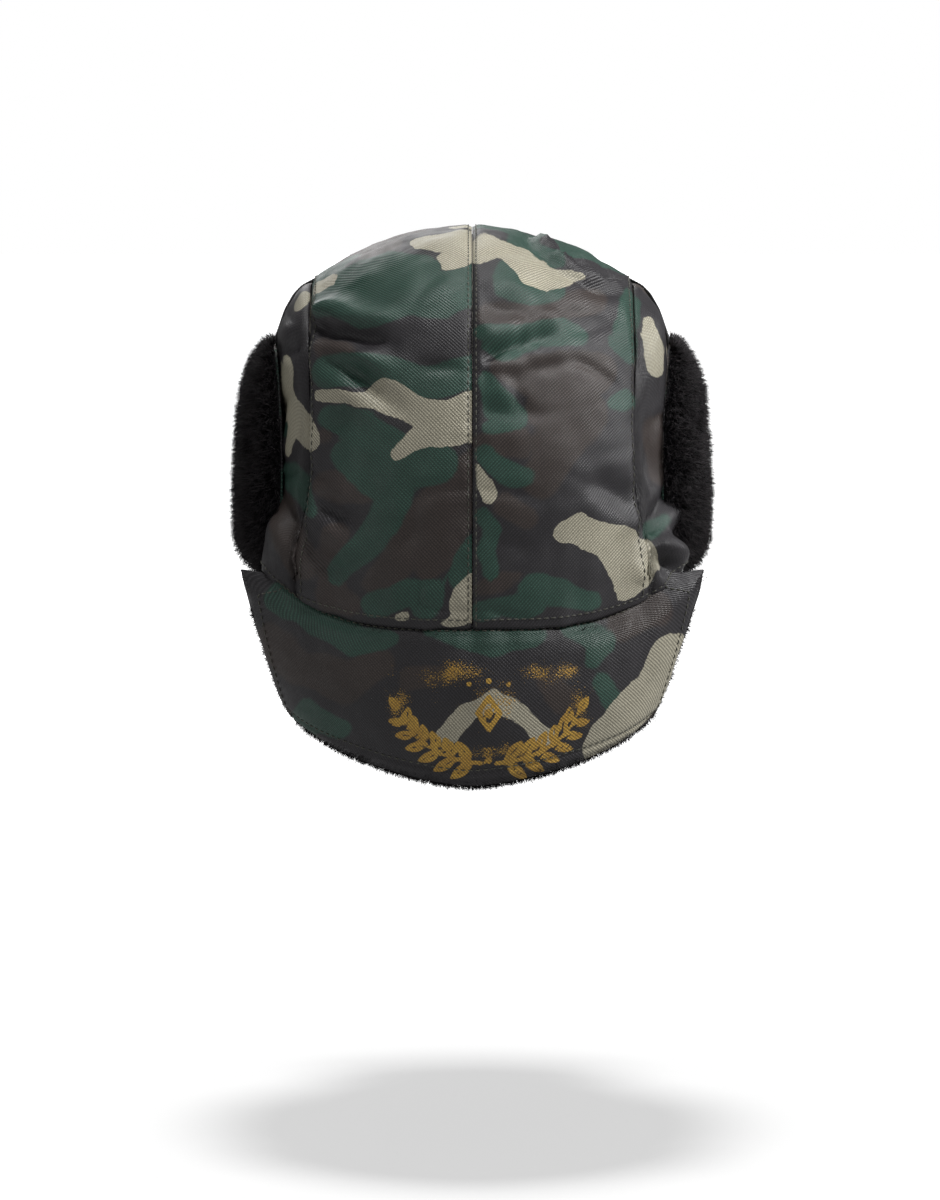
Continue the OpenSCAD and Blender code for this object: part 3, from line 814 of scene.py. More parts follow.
camo = camo_material("camo_cloth")
camo_printed = camo_material("camo_cloth_printed", printed=True)
lining_cloth = plain_cloth("lining_satin", rgb("141317"), rgb("2a282e"), 0.7, 0.45, 0.05, 0.3)
band_cloth = plain_cloth("sweatband_twill", rgb("18171a"), rgb("302e33"), 0.9, 0.8)
interlining = plain_cloth("interlining", rgb("b9b6ab"), rgb("dad7cc"), 1.1)
elastic_cloth = plain_cloth("elastic", rgb("b4b2ab"), rgb("e2e0d8"), 1.6)
label_cloth = plain_cloth("label_tape", rgb("a9a69c"), rgb("d8d5ca"), 0.5, 0.6, 0.04)
webbing_cloth = plain_cloth("webbing", rgb("09090a"), rgb("1c1b1e"), 1.9, 0.6, 0.16, 0.05)
thread = plain_cloth("thread", rgb("2b2c26"), rgb("5d5c50"), 0.5, 0.6)
wadding_fibre = fibre_material("wadding_fibre", rgb("b8b5ab"), rgb("e6e3da"))
fur_ground = fibre_material("fur_ground", rgb("09090a"), rgb("1d1b1e"), 2.4)
fur_black = strand_material("fur_black", rgb("1b191b"), 0.6)
fur_soft = strand_material("fur_soft", rgb("332f31"), 0.66)
plastic = plastic_material("buckle_plastic")
metal = metal_material("snap_metal")


# ------------------------------------------------------------------ relief of the crown

# Folds in the crown's cloth as seen from behind: (right, up) of both ends, depth, half width
FOLDS = [
    ((-78, 109), (-36, 101), 3.4, 5.0),
    ((-78, 116), (-52, 113), -1.6, 7.0),
    ((-74, 97), (-40, 78), 1.5, 5.0),
    ((-60, 88), (-34, 66), 1.2, 5.0),
    ((-76, 25), (-54, 14), 1.7, 5.0),
    ((-78, 4), (-96, 34), 2.4, 5.5),
    ((-78, 4), (-60, -12), 1.6, 5.0),
    ((-80, 104), (-90, 94), 2.0, 5.0),
    ((5, 93), (22, 101), 2.6, 4.5),
    ((18, 99), (46, 108), 2.0, 5.0),
    ((4, 118), (34, 112), 1.2, 6.0),
    ((4, 70), (30, 62), 0.9, 6.0),
    ((81, 4), (97, 34), 3.4, 4.5),
    ((84, 14), (108, 8), 2.8, 5.0),
    ((82, 2), (101, -12), 2.2, 5.0),
    ((88, 30), (86, 60), 1.2, 5.0),
    ((60, 36), (78, 22), 1.2, 6.0),
    ((30, 155), (54, 134), -2.2, 3.0),
    ((54, 134), (76, 128), -2.0, 3.0),
    ((40, 150), (64, 140), 1.2, 5.0),
    ((79, 126), (83, 100), 1.6, 4.0),
]
FOLD_STRENGTH = 1.8


def fold_relief(points):
    """Depth of the listed folds, positive inwards, with a soft ridge beside each valley."""
    place = seen_from_behind(points)
    place = place + 2.2 * np.stack([fractal(points, 18.0, 301), fractal(points, 18.0, 302)], axis=-1)
    depth = np.zeros(points.shape[:-1])
    for start, end, deep, wide in FOLDS:
        start, end = np.array(start, float), np.array(end, float)
        along = end - start
        length = np.linalg.norm(along)
        t = np.clip(((place - start) @ along) / length ** 2, -0.15, 1.15)
        gap = np.linalg.norm(place - start - np.clip(t, 0, 1)[..., None] * along, axis=-1)
        fade = ease(t, -0.15, 0.2) * (1 - ease(t, 0.55, 1.15))
        valley = np.exp(-np.abs(gap / (0.8 * wide)) ** 1.4)
        ridge = np.exp(-((gap - 1.9 * wide) / wide) ** 2)
        depth += FOLD_STRENGTH * deep * fade * (valley - 0.5 * ridge)
    return depth * ease(points[..., 1], -10, 25)


def creases(points, seed):
    """Thin, wandering creases, in patches."""
    line = np.exp(-(fractal(points * [1, 1, 1.5], 46.0, seed, 2) / 0.09) ** 2)
    return line * ease(fractal(points, 58.0, seed + 9, 1), -0.15, 0.45)


def seam_relief(gap, place_along, dip=1.5, width=2.2, seed=0):
    """How far cloth dips into a seam, with the small puckers that stitching pulls."""
    pucker = value_noise(np.stack([place_along / 5.5, gap / 9.0, 0 * gap], -1), seed + 71)
    return dip * np.exp(-(gap / width) ** 2) + 0.55 * pucker * np.exp(-((gap - 4) / 4.5) ** 2)


def gathers(points, gap_to_edge, seed):
    """Upright gathers where elastic draws the nape in."""
    ripple = value_noise(np.stack([points[..., 0] / 7.0, points[..., 2] / 45.0, 0 * gap_to_edge], -1), seed)
    back = ease(points[..., 1], 30, 75)
    return 1.7 * ripple * back * np.exp(-(gap_to_edge / 17.0))


DEEPEST_DIP = 4.6
HIGHEST_PUFF = 4.5


def crown_relief(points, normals, settled):
    """The base surface with its seams, folds and puckers, and the simulated cloth's own movement."""
    gap_center = nearest(points, center_seam[::3])
    gap_left = nearest(points, side_seam[::3])
    gap_right = nearest(points, side_seam_right[::3])
    gap_side = np.minimum(gap_left, gap_right)
    gap_edge = np.abs(points[..., 2] - edge_z(points[..., 1])) + 0 * gap_side
    path = points[..., 1] + 1.6 * points[..., 2]
    inward = seam_relief(gap_center, path, 1.3, 1.9, 1)
    inward += seam_relief(gap_side, path, 1.7, 2.4, 2)
    inward += 0.7 * np.exp(-(gap_edge / 2.5) ** 2)
    inward += gathers(points, gap_edge, 11) * ease(gap_side, 0, 6)
    inward += fold_relief(points) * ease(np.minimum(gap_side, gap_center), 0, 8)
    free = 1 - np.exp(-(np.minimum(gap_edge, np.minimum(gap_side, gap_center)) / 12.0))
    inward += free * (2.3 * fractal(points * [1, 1, 0.6], 34.0, 91) + 0.8 * fractal(points, 12.0, 95, 2))
    inward += free * (2.2 * creases(points, 141) + 1.7 * creases(points, 171))
    pressed = np.exp(-(nearest(points, strap_path) / 13.0) ** 4)
    inward = inward * (1 - pressed) + 0.5 * pressed
    straight = np.sum(settled * normals, axis=-1)
    inward = np.clip(inward - straight, -HIGHEST_PUFF, DEEPEST_DIP)
    sideways = settled - straight[..., None] * normals
    return points - inward[..., None] * normals + sideways


def strip_samples():
    across = spaced(0.15, STRIP_HALF_W - 0.2, 2.4)
    along = np.concatenate([np.linspace(0, 0.93, 205, endpoint=False), np.linspace(0.93, 1, 14)])
    return across, along


# ------------------------------------------------------------------ simulate the sewn sheets

coarse_u, coarse_v = shares(37, 90)
strip_coarse = strip_point((2 * coarse_u - 1) * STRIP_HALF_W, coarse_v)
side_u, side_v = shares(34, 30)
side_u = 0.02 + 0.98 * side_u
side_coarse = side_point(side_u, side_v)
neck_u, neck_v = shares(61, 22)
neck_coarse = neck_point(neck_u, neck_v)


def crown_hold(points):
    """Sewn edges are held, and the rest follows the wadding underneath."""
    gap = np.minimum(nearest(points, side_seam[::6]), nearest(points, side_seam_right[::6]))
    gap = np.minimum(gap, nearest(points, center_seam[::6]))
    gap = np.minimum(gap, np.abs(points[..., 2] - edge_z(points[..., 1])))
    return np.where(gap < 2.5, 1.0, 0.12)


def spare_cloth(points, seed):
    low = np.exp(-np.abs(points[..., 2] - edge_z(points[..., 1])) / 28.0) * ease(points[..., 1], 20, 70)
    patchy = 0.5 + 0.5 * fractal(points, 60.0, seed, 2)
    return np.clip(0.18 + 0.4 * patchy + 0.55 * low, 0, 1)


side_coarse_right = side_coarse * [-1, 1, 1]
neck_held = np.where((neck_v < 0.02) | (neck_v > 0.98), 1.0, 0.08)
neck_grow = np.clip(0.25 + 0.5 * np.exp(-neck_v * 4) + 0.3 * fractal(neck_coarse, 50.0, 5), 0, 1)
jobs = [
    (strip_coarse, crown_hold(strip_coarse), spare_cloth(strip_coarse, 21)),
    (side_coarse, crown_hold(side_coarse), spare_cloth(side_coarse, 22)),
    (side_coarse_right, crown_hold(side_coarse_right), spare_cloth(side_coarse_right, 23)),
    (neck_coarse, neck_held, neck_grow),
]
sheets = [(coarse_cloth(f"sheet{i}", *job), job[0]) for i, job in enumerate(jobs)]
strip_move, side_move, side_move_right, neck_move = simulate(sheets)


# ------------------------------------------------------------------ crown pieces

def cloth_coordinates(grid):
    """Distances along a grid's rows and columns, in mm, so that a weave runs with the cloth."""
    step_u = np.linalg.norm(np.diff(grid, axis=0), axis=-1).mean(1)
    step_v = np.linalg.norm(np.diff(grid, axis=1), axis=-1).mean(0)
    u = np.concatenate([[0], np.cumsum(step_u)])
    v = np.concatenate([[0], np.cumsum(step_v)])
    return np.stack([u[:, None] + 0 * v, v + 0 * u[:, None], 0 * u[:, None] + 0 * v], axis=-1)


def outward(grid, normals):
    """Normals turned to point away from the hat's middle."""
    middle = np.array([0, 0, 40.0])
    flip = np.sum(normals * (grid - middle), axis=-1).mean() < 0
    return -normals if flip else normals


def mirrored(grid):
    return grid * [-1, 1, 1]


def bend(piece, flap, line):
    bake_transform(piece)


def cloth_piece(name, grid, body, region, seed, replaces, material=None, extra=None):
    """A panel of camouflage cloth whose outer face is the grid."""
    normals = outward(grid, grid_normals(grid))
    attributes = {"cloth": cloth_coordinates(grid), "camo": camo_fields(grid, region, seed)}
    attributes.update(extra or {})
    mesh = faced_sheet(name, grid, grid - CLOTH_T * normals, normals, attributes)
    return link(name, mesh, body, material or camo, replaces)


UNDER_PUFF = 0.35


def under_layer(name, base, depth, thick, material, replaces):
    """An unevenly thick layer under the crown's cloth."""
    base = base + billow(base)
    out = outward(base, grid_normals(base))
    wave = UNDER_PUFF * np.abs(fractal(base, 14.0, 31, 2))[..., None]
    top, bottom = base - depth * out, base - (depth + thick - wave) * out
    mesh = faced_sheet(name, top, bottom, out, {"cloth": cloth_coordinates(base)})
    link(name, mesh, "crown", material, replaces)


across, along = strip_samples()
strip_x, strip_v = np.meshgrid(across, along, indexing="ij")


def center_grid(sign):
    base = strip_point(sign * strip_x, strip_v)
    base = base + billow(base)
    normals = outward(base, grid_normals(base))
    move = lookup(strip_move, (sign * strip_x / STRIP_HALF_W + 1) / 2, strip_v)
    return crown_relief(base, normals, move)


def side_grid(sign):
    u = np.concatenate([np.linspace(0.012, 0.06, 8, endpoint=False), np.linspace(0.06, 0.94, 72),
                        np.linspace(0.94, 0.998, 8)[1:]])
    v = np.concatenate([np.linspace(0, 0.9, 52, endpoint=False), np.linspace(0.9, 0.998, 14)])
    grid_u, grid_v = np.meshgrid(u, v, indexing="ij")
    base = side_point(grid_u, grid_v)
    base = base if sign > 0 else mirrored(base)
    base = base + billow(base)
    normals = outward(base, grid_normals(base))
    move = lookup(side_move if sign > 0 else side_move_right, (grid_u - 0.02) / 0.98, grid_v)
    return crown_relief(base, normals, move)


WADDING_IN = DEEPEST_DIP + CLOTH_T + 0.2
WADDING_SHOWN_T = 1.2
LINING_IN = WADDING_IN + WADDING_SHOWN_T + 0.2
LINING_T = 0.7
center_left, center_right = center_grid(1), center_grid(-1)
side_left, side_right = side_grid(1), side_grid(-1)
cloth_piece("crown_center_left", center_left, "crown", "left", 3, ["center_panel_left"])
cloth_piece("crown_center_right", center_right, "crown", "right", 5, ["center_panel_right"])
cloth_piece("crown_side_left", side_left, "crown", "left", 8, ["side_panel_left"])
cloth_piece("crown_side_right", side_right, "crown", "right", 9, ["side_panel_right"])

# Each layer: how far it stays inside the side seam, its depth, thickness, material, slot, and its share
# of a side panel
UNDER_LAYERS = {
    "wadding": (3.0, WADDING_IN, WADDING_SHOWN_T, wadding_fibre, "wadding", 0.93),
    "lining": (5.0, LINING_IN, LINING_T, lining_cloth, "lining", 0.89),
}
inner_x, inner_v = shares(60, 120)
inner_u, side_up = shares(70, 50)
for layer, (inset, depth, thick, material, slot, share) in UNDER_LAYERS.items():
    middle = strip_point((2 * inner_x - 1) * (STRIP_HALF_W - inset), inner_v)
    panel = side_point(0.5 + (inner_u - 0.5) * share, side_up * share)
    for place, base, node in (("center", middle, f"center_{layer}"), ("left", panel, f"side_{layer}_left"),
                              ("right", mirrored(panel), f"side_{layer}_right")):
        under_layer(f"crown_{layer}_{place}", base, depth, thick, material, [node])


# ------------------------------------------------------------------ stitches

def stitch_run(path, normals, length=2.7, pitch=3.5, radius=0.3):
    """Points and faces of a row of stitches lying on a path."""
    steps = np.linalg.norm(np.diff(path, axis=0), axis=1)
    place = np.concatenate([[0], np.cumsum(steps)])
    starts = np.arange(pitch / 2, place[-1] - length, pitch)
    shares_along = np.array([0, 0.2, 0.5, 0.8, 1.0])
    heights = np.array([-0.35, 0.12, 0.24, 0.12, -0.35])
    radii = radius * np.array([0.55, 0.95, 1.0, 0.95, 0.55])
    turns = np.arange(6) * math.pi / 3
    points, faces = [], []
    for start in starts:
        at = start + length * shares_along
        middle = np.stack([np.interp(at, place, path[:, k]) for k in range(3)], 1)
        up = unit(np.stack([np.interp(at, place, normals[:, k]) for k in range(3)], 1))
        ahead = unit(np.gradient(middle, axis=0))
        side = unit(np.cross(ahead, up))
        rings = [middle[i] + heights[i] * up[i]
                 + radii[i] * (np.cos(turns)[:, None] * side[i] + np.sin(turns)[:, None] * up[i])
                 for i in range(5)]
        first = sum(len(p) for p in points)
        points.append(np.concatenate(rings))
        for ring in range(4):
            for k in range(6):
                a = first + ring * 6 + k
                b = first + ring * 6 + (k + 1) % 6
                faces.append([a, b, b + 6, a + 6])
        faces.append([first + k for k in range(5, -1, -1)])
        faces.append([first + 24 + k for k in range(6)])
    return np.concatenate(points), faces


def stitches(name, runs, body=None):
    """One piece that holds several rows of stitches."""
    points, faces, base = [], [], 0
    for path, normals in runs:
        p, f = stitch_run(path, normals)
        points.append(p)
        faces += [[i + base for i in face] for face in f]
        base += len(p)
    points = np.concatenate(points)
    cloth = points[:, [1, 2, 0]] + points[:, [0, 0, 0]]
    mesh = make_mesh(name, points, faces, {"cloth": cloth})
    return link(name, mesh, body, thread)


def line_on(grid, row=None, column=None):
    """A row or column of a grid, with its outward normals."""
    normals = outward(grid, grid_normals(grid))
    return (grid[row], normals[row]) if row is not None else (grid[:, column], normals[:, column])


def row_at(x):
    return int(np.abs(across - x).argmin())


STITCH_FROM_CENTER = 2.1
STITCH_FROM_SIDE = 2.4
STITCH_EDGE_V = 0.985
edge_column = int(np.abs(along - STITCH_EDGE_V).argmin())
runs = []
for grid in (center_left, center_right):
    runs.append(line_on(grid, row=row_at(STITCH_FROM_CENTER)))
    runs.append(line_on(grid, row=row_at(STRIP_HALF_W - STITCH_FROM_SIDE)))
    runs.append(line_on(grid, column=edge_column))
for grid in (side_left, side_right):
    runs.append(line_on(grid, column=2))
stitches("crown_topstitch", runs, "crown")


# ------------------------------------------------------------------ sweatband, elastic, label

def oval_grid(start, end, low, high, depth, count_u, count_v):
    """A band inside the head opening, from one angle to another and between two heights."""
    u, v = shares(count_u, count_v)
    angle = np.radians(start + (end - start) * u)
    x = CROWN_HALF_W * signed_pow(np.sin(angle), 2 / PLAN_POWER)
    y = CROWN_HALF_L * signed_pow(np.cos(angle), 2 / PLAN_POWER)
    grid = np.stack([-x, y, edge_z(y) + low + (high - low) * v], axis=-1)
    out = outward(grid, grid_normals(grid))
    return grid - depth * out, out


def band_piece(name, start, end, low, high, depth, thick, material, node, ripple=0.3):
    grid, out = oval_grid(start, end, low, high, depth, 200, 12)
    wave = ripple * fractal(grid * [1, 1, 0.4], 9.0, 1, 2)[..., None]
    roll = np.sin(np.linspace(0, math.pi, grid.shape[1]))[None, :, None] * 0.5
    outer, inner = grid - 0.02 * out, grid - (thick + roll + np.maximum(wave, 0)) * out
    mesh = faced_sheet(name, outer, inner, out, {"cloth": cloth_coordinates(grid)})
    link(name, mesh, "crown", material, [node])


ELASTIC_IN = LINING_IN + LINING_T + 1.2
SWEATBAND_IN = ELASTIC_IN + 1.4
band_piece("sweatband_twill", 0.5, 359.5, 1, 29, SWEATBAND_IN, 0.9, band_cloth, "sweatband")
band_piece("nape_elastic_tape", -46, 46, 4, 12, ELASTIC_IN, 0.6, elastic_cloth,
           "nape_elastic", 0.5)

label_low, label_high = low_high("care_label")
label_u, label_v = shares(24, 16)
label_grid = np.stack([label_low[0] + (label_high[0] - label_low[0]) * label_u,
                       label_low[1] - 0.8 * np.sin(math.pi * label_u) * label_v,
                       label_low[2] + (label_high[2] - label_low[2]) * label_v], axis=-1)
label_mesh = closed_sheet("care_label_tape", label_grid, label_grid + [0, 0.35, 0],
                          {"cloth": cloth_coordinates(label_grid)})
link("care_label_tape", label_mesh, "crown", label_cloth, ["care_label"])


# ------------------------------------------------------------------ fur

SOFT_SHARE = 0.35


def fur_strands(name, roots, normals, lean, length, seed, thick=0.42, curl=0.5):
    """A coat of tapered hairs. lean is the way the pile lies, length one number per hair."""
    rand = np.random.default_rng(seed)
    count = len(roots)
    jitter = unit(rand.normal(size=(count, 3)))
    direction = unit(normals + lean + curl * jitter)
    bend = unit(direction + 0.9 * lean + 0.7 * unit(rand.normal(size=(count, 3))))
    length = length[:, None] * rand.uniform(0.65, 1.15, (count, 1))
    middle = roots + direction * length * 0.55
    tip = middle + bend * length * 0.5
    side = unit(np.cross(direction, jitter))
    other = np.cross(direction, side)
    wide = thick * rand.uniform(0.7, 1.25, (count, 1))
    turns = np.array([0, 2, 4]) * math.pi / 3
    ring = [np.cos(t) * side + np.sin(t) * other for t in turns]
    points = np.stack([roots - 0.6 * normals + wide * 0.5 * r for r in ring]
                      + [middle + wide * 0.36 * r for r in ring] + [tip], axis=1)
    first = np.arange(count)[:, None] * 7
    quads = np.concatenate([first + np.array([[a, (a + 1) % 3, (a + 1) % 3 + 3, a + 3]])
                            for a in range(3)])
    tris = np.concatenate([first + np.array([[a + 3, (a + 1) % 3 + 3, 6]]) for a in range(3)]
                          + [first + np.array([[2, 1, 0]])])
    mesh = make_mesh(name, points.reshape(-1, 3), quads.tolist() + tris.tolist())
    piece = link(name, mesh, None, fur_black)
    mesh.materials.append(fur_soft)
    tone = rand.random(count) < SOFT_SHARE
    owner = np.concatenate([np.tile(np.arange(count), 3), np.tile(np.arange(count), 4)])
    mesh.polygons.foreach_set("material_index", tone[owner].astype(np.int32))
    mesh.update()
    return piece


def scatter(grid, normals, count, seed):
    """Random places on a grid: points, normals, and shares of its rows and columns."""
    rand = np.random.default_rng(seed)
    u = rand.random(count)
    v = rand.random(count)
    return lookup(grid, u, v), unit(lookup(normals, u, v)), u, v


def swell(u, v, low):
    """1 in the middle of a flap, falling to low round its edge."""
    middle = np.maximum(0, np.sin(math.pi * (0.06 + 0.88 * u)) * np.sin(math.pi * (0.1 + 0.8 * v)))
    return low + (1 - low) * middle ** 0.4


def rounded(u, v, reach):
    """0 on a flap's edges and 1 inside them, rounded like a quarter circle."""
    near = np.clip(np.minimum(np.minimum(u, 1 - u), np.minimum(v, 1 - v)) / reach, 0, 1)
    return np.sqrt(near * (2 - near))


def fur_coat(name, grid, out, depth, pile, node, seed, count, lean, hair, edge=0.35):
    """A lumpy ground close to the backing, and a coat of hairs that stands on it."""
    rows, columns = grid.shape[:2]
    u, v = shares(rows, columns)
    lumps = 1 + 0.25 * fractal(grid, 11.0, seed, 3)
    depth = np.broadcast_to(depth, (rows, columns))
    pile = 0.25 + 0.5 * pile * swell(u, v, edge) * lumps * rounded(u, v, 0.1)
    top = grid + (depth + pile)[..., None] * out
    bottom = grid + depth[..., None] * out
    ground = link(name, faced_sheet(name, top, bottom, out), None, fur_ground, [node])
    normals = grid_normals(top)
    if np.sum(normals * out, axis=-1).mean() < 0:
        normals = -normals
    roots, root_normals, ru, rv = scatter(top, normals, count, seed + 1)
    rim_out = edge_push(top, ru, rv)
    clump = 0.55 * np.stack([fractal(roots, 8.0, seed + k, 2) for k in (5, 6, 7)], axis=-1)
    coat = fur_strands(name + "_hair", roots, unit(root_normals + 0.7 * rim_out), lean + clump,
                       np.full(count, hair) * (0.75 + 0.35 * swell(ru, rv, 0.3)), seed + 2)
    return ground, coat


def edge_push(grid, u, v):
    """Directions that point off a flap near its rim, so that hairs there stand outwards."""
    middle = lookup(grid, np.full_like(u, 0.5), np.full_like(v, 0.5))
    here = lookup(grid, u, v)
    near = ease(np.maximum(np.abs(2 * u - 1), np.abs(2 * v - 1)), 0.8, 1.0)
    return unit(here - middle) * near[:, None]


# ------------------------------------------------------------------ ear flaps

def flap_layer(name, grid, out, low, high, material, node, attributes=None):
    """A closed layer of a flap between two depths of its back face."""
    mesh = faced_sheet(name, grid + high * out, grid + low * out, out, attributes)
    return link(name, mesh, None, material, [node])


def rim_stitches(name, grid, out):
    """Stitches along a flap's two sides and its free edge, on its back face."""
    lines = [(grid[3] - 0.1 * out[3], -out[3]), (grid[-4] - 0.1 * out[-4], -out[-4]),
             (grid[:, -4] - 0.1 * out[:, -4], -out[:, -4])]
    return stitches(name, lines)


EAR_FUR_IN = CLOTH_T + LAYER_GAP + EAR_WADDING_T + LAYER_GAP
EAR_PILE = 11.0


def ear_flap(side_name, sign, seed):
    u, v = shares(72, 66)
    base = ear_point(u, v)
    out = grid_normals(base)
    out = out if out[..., 0].mean() > 0 else -out
    rumple = (1.1 * fractal(base, 26.0, seed, 2) + 0.5 * fractal(base, 9.0, seed + 2, 2))
    rim = np.minimum(np.minimum(u, 1 - u) * 90, (1 - v) * 90)
    base = base - (rumple * ease(rim, 0, 12) - 0.4 * np.exp(-(rim - 5) ** 2 / 4))[..., None] * out
    if sign < 0:
        base, out = mirrored(base), mirrored(out)
    attributes = {"cloth": cloth_coordinates(base), "camo": camo_fields(base, "ear", seed)}
    pieces = [flap_layer(f"ear_shell_{side_name}", base, out, 0, CLOTH_T, camo,
                         f"ear_flap_shell_{side_name}", attributes)]
    plump = ease(rim, 0, 20) * (0.3 + 0.7 * ease(v * EAR_H, 0, 12))
    inset = np.s_[3:-3, 3:-3]
    pad_t = (CLOTH_T + 0.2 + EAR_WADDING_T * plump)[..., None]
    pieces.append(flap_layer(f"ear_wadding_{side_name}", base[inset], out[inset], CLOTH_T + 0.1,
                             pad_t[inset], wadding_fibre, f"ear_flap_wadding_{side_name}"))
    fur_depth = CLOTH_T + 0.2 + (EAR_FUR_IN - CLOTH_T - 0.2) * plump
    pile = EAR_PILE * (1 - 0.3 * ease(v, 0.7, 1))
    pieces += fur_coat(f"ear_fur_{side_name}", base, out, fur_depth, pile, f"ear_flap_fur_{side_name}",
                       seed, 19500, np.array([0.15 * sign, 0.1, -0.35]), 8.0)
    pieces.append(rim_stitches(f"ear_topstitch_{side_name}", base, out))
    for piece in pieces:
        bend(piece, f"ear_flap_{side_name}", "ear_flap")


ear_flap("left", 1, 400)
ear_flap("right", -1, 430)


# ------------------------------------------------------------------ front flap

front_u, front_v = shares(70, 46)
front_base = front_point(front_u, front_v)
front_out = grid_normals(front_base)
front_out = front_out if front_out[..., 1].mean() < 0 else -front_out
front_rumple = 0.8 * fractal(front_base, 24.0, 520, 2) * np.sin(math.pi * front_u) ** 0.5
front_grid = front_base + (0.5 + 0.4 * front_rumple)[..., None] * front_out * (front_v > 0)[..., None]
STIFFENER_T = 0.8
FRONT_FUR_IN = CLOTH_T + STIFFENER_T + 2 * LAYER_GAP


front_cloth = cloth_coordinates(front_grid)
front_inset = np.s_[4:-4, 1:-4]
stiffener_in = CLOTH_T + LAYER_GAP
front_pieces = [
    flap_layer("front_shell", front_grid, front_out, 0, CLOTH_T, camo, "front_flap_shell",
               {"cloth": front_cloth, "camo": camo_fields(front_grid, "front", 610)}),
    flap_layer("front_interlining", front_grid[front_inset], front_out[front_inset], stiffener_in,
               stiffener_in + STIFFENER_T, interlining, "front_flap_stiffener",
               {"cloth": front_cloth[front_inset]}),
]
front_pieces += fur_coat("front_fur", front_grid, front_out, FRONT_FUR_IN, 10.0, "front_flap_fur", 540,
                         19500, np.array([0.0, -0.2, -0.3]), 9.5, 0.45)
front_pieces.append(rim_stitches("front_topstitch", front_grid, front_out))
for piece in front_pieces:
    outside = piece.name in ("front_shell", "front_topstitch")
    bend(piece, "front_flap", "front_flap" if outside else "front_inside")


# ------------------------------------------------------------------ neck flap

neck_rows = np.concatenate([np.linspace(0, 0.03, 8, endpoint=False), np.linspace(0.03, 0.97, 150),
                            np.linspace(0.97, 1, 8)[1:]])
TUCK_V = 0.05
TUCK_COLUMNS = 5
neck_columns = np.concatenate([np.linspace(-TUCK_V, 0, TUCK_COLUMNS, endpoint=False),
                               np.linspace(0, 0.09, 12, endpoint=False), np.linspace(0.09, 0.9, 46),
                               np.linspace(0.9, 1, 11)[1:]])
grid_u, signed_v = np.meshgrid(neck_rows, neck_columns, indexing="ij")
grid_v = np.maximum(signed_v, 0)
neck_base = neck_point(grid_u, grid_v)
neck_out = outward(neck_base, grid_normals(neck_base))
neck_out[:, :TUCK_COLUMNS] = neck_out[:, TUCK_COLUMNS:TUCK_COLUMNS + 1]
NECK_DROP = 78.0
drop = grid_v * NECK_DROP
to_side = np.minimum(grid_u, 1 - grid_u) * 250.0
ripple = value_noise(np.stack([neck_base[..., 0] / 8.0, drop / 50.0, 0 * drop], -1), 77)
neck_in = 1.6 * np.exp(-(drop / 3.0) ** 2) + 1.5 * ripple * np.exp(-drop / 15.0)
free_neck = ease(drop, 4, 22) * ease(NECK_DROP - drop, 0, 14)
neck_in += free_neck * (2.2 * fractal(neck_base * [1, 1, 0.8], 36.0, 83, 3)
                        + 1.8 * creases(neck_base * [1, 1, 0.6], 211))
neck_in += 2.2 * np.exp(-((NECK_DROP - drop) / 3.4) ** 2) + 2.2 * np.exp(-(to_side / 3.6) ** 2)
neck_in += 0.7 * np.exp(-((drop - 70) / 1.6) ** 2) * ease(to_side, 2, 8)
neck_grid = neck_base - neck_in[..., None] * neck_out + lookup(neck_move, grid_u, grid_v)

# Above its seam the cloth goes on for a few millimetres inside the crown's edge, where it is sewn in
tucked = np.minimum(signed_v, 0)[..., None] * -NECK_TUCKED / TUCK_V
toward_middle = unit(neck_base * [1, 1, 0])
neck_grid = neck_grid + tucked * [0, 0, 1] - toward_middle * (tucked * 0.8 + (tucked > 0) * 0.6)


# The print is a pair of leafy sprigs round a diamond: (right, up) from its middle, in mm
PRINT_RIGHT = 8.0
PRINT_UP = -80.0
LEAVES = 6
# Where the spray strayed past the stencil: centre and size, in mm
MIST = [((-18.0, 22.0), (24.0, 8.0)), ((28.0, 24.0), (20.0, 7.0)), ((0.0, -16.0), (22.0, 5.0)),
        ((-44.0, 8.0), (7.0, 14.0)), ((44.0, 8.0), (7.0, 12.0)), ((2.0, 8.0), (13.0, 13.0))]
STEM_SWEEP = math.radians(74)
STEM_W = 62.0
STEM_H = 34.0


def leaf_shape(p, root, angle, length, width):
    """How far inside a pointed leaf: positive inside."""
    c, s = math.cos(angle), math.sin(angle)
    q = p - np.array(root)
    x = (q[..., 0] * c + q[..., 1] * s) / length
    y = np.abs(-q[..., 0] * s + q[..., 1] * c)
    half = width * np.maximum(0, np.sin(math.pi * np.clip(x, 0, 1))) ** 0.8
    inside = np.minimum(half - y, np.minimum(x, 1 - x) * length)
    vein = y - 0.35
    return np.minimum(inside, np.where(x < 0.75, vein, inside))


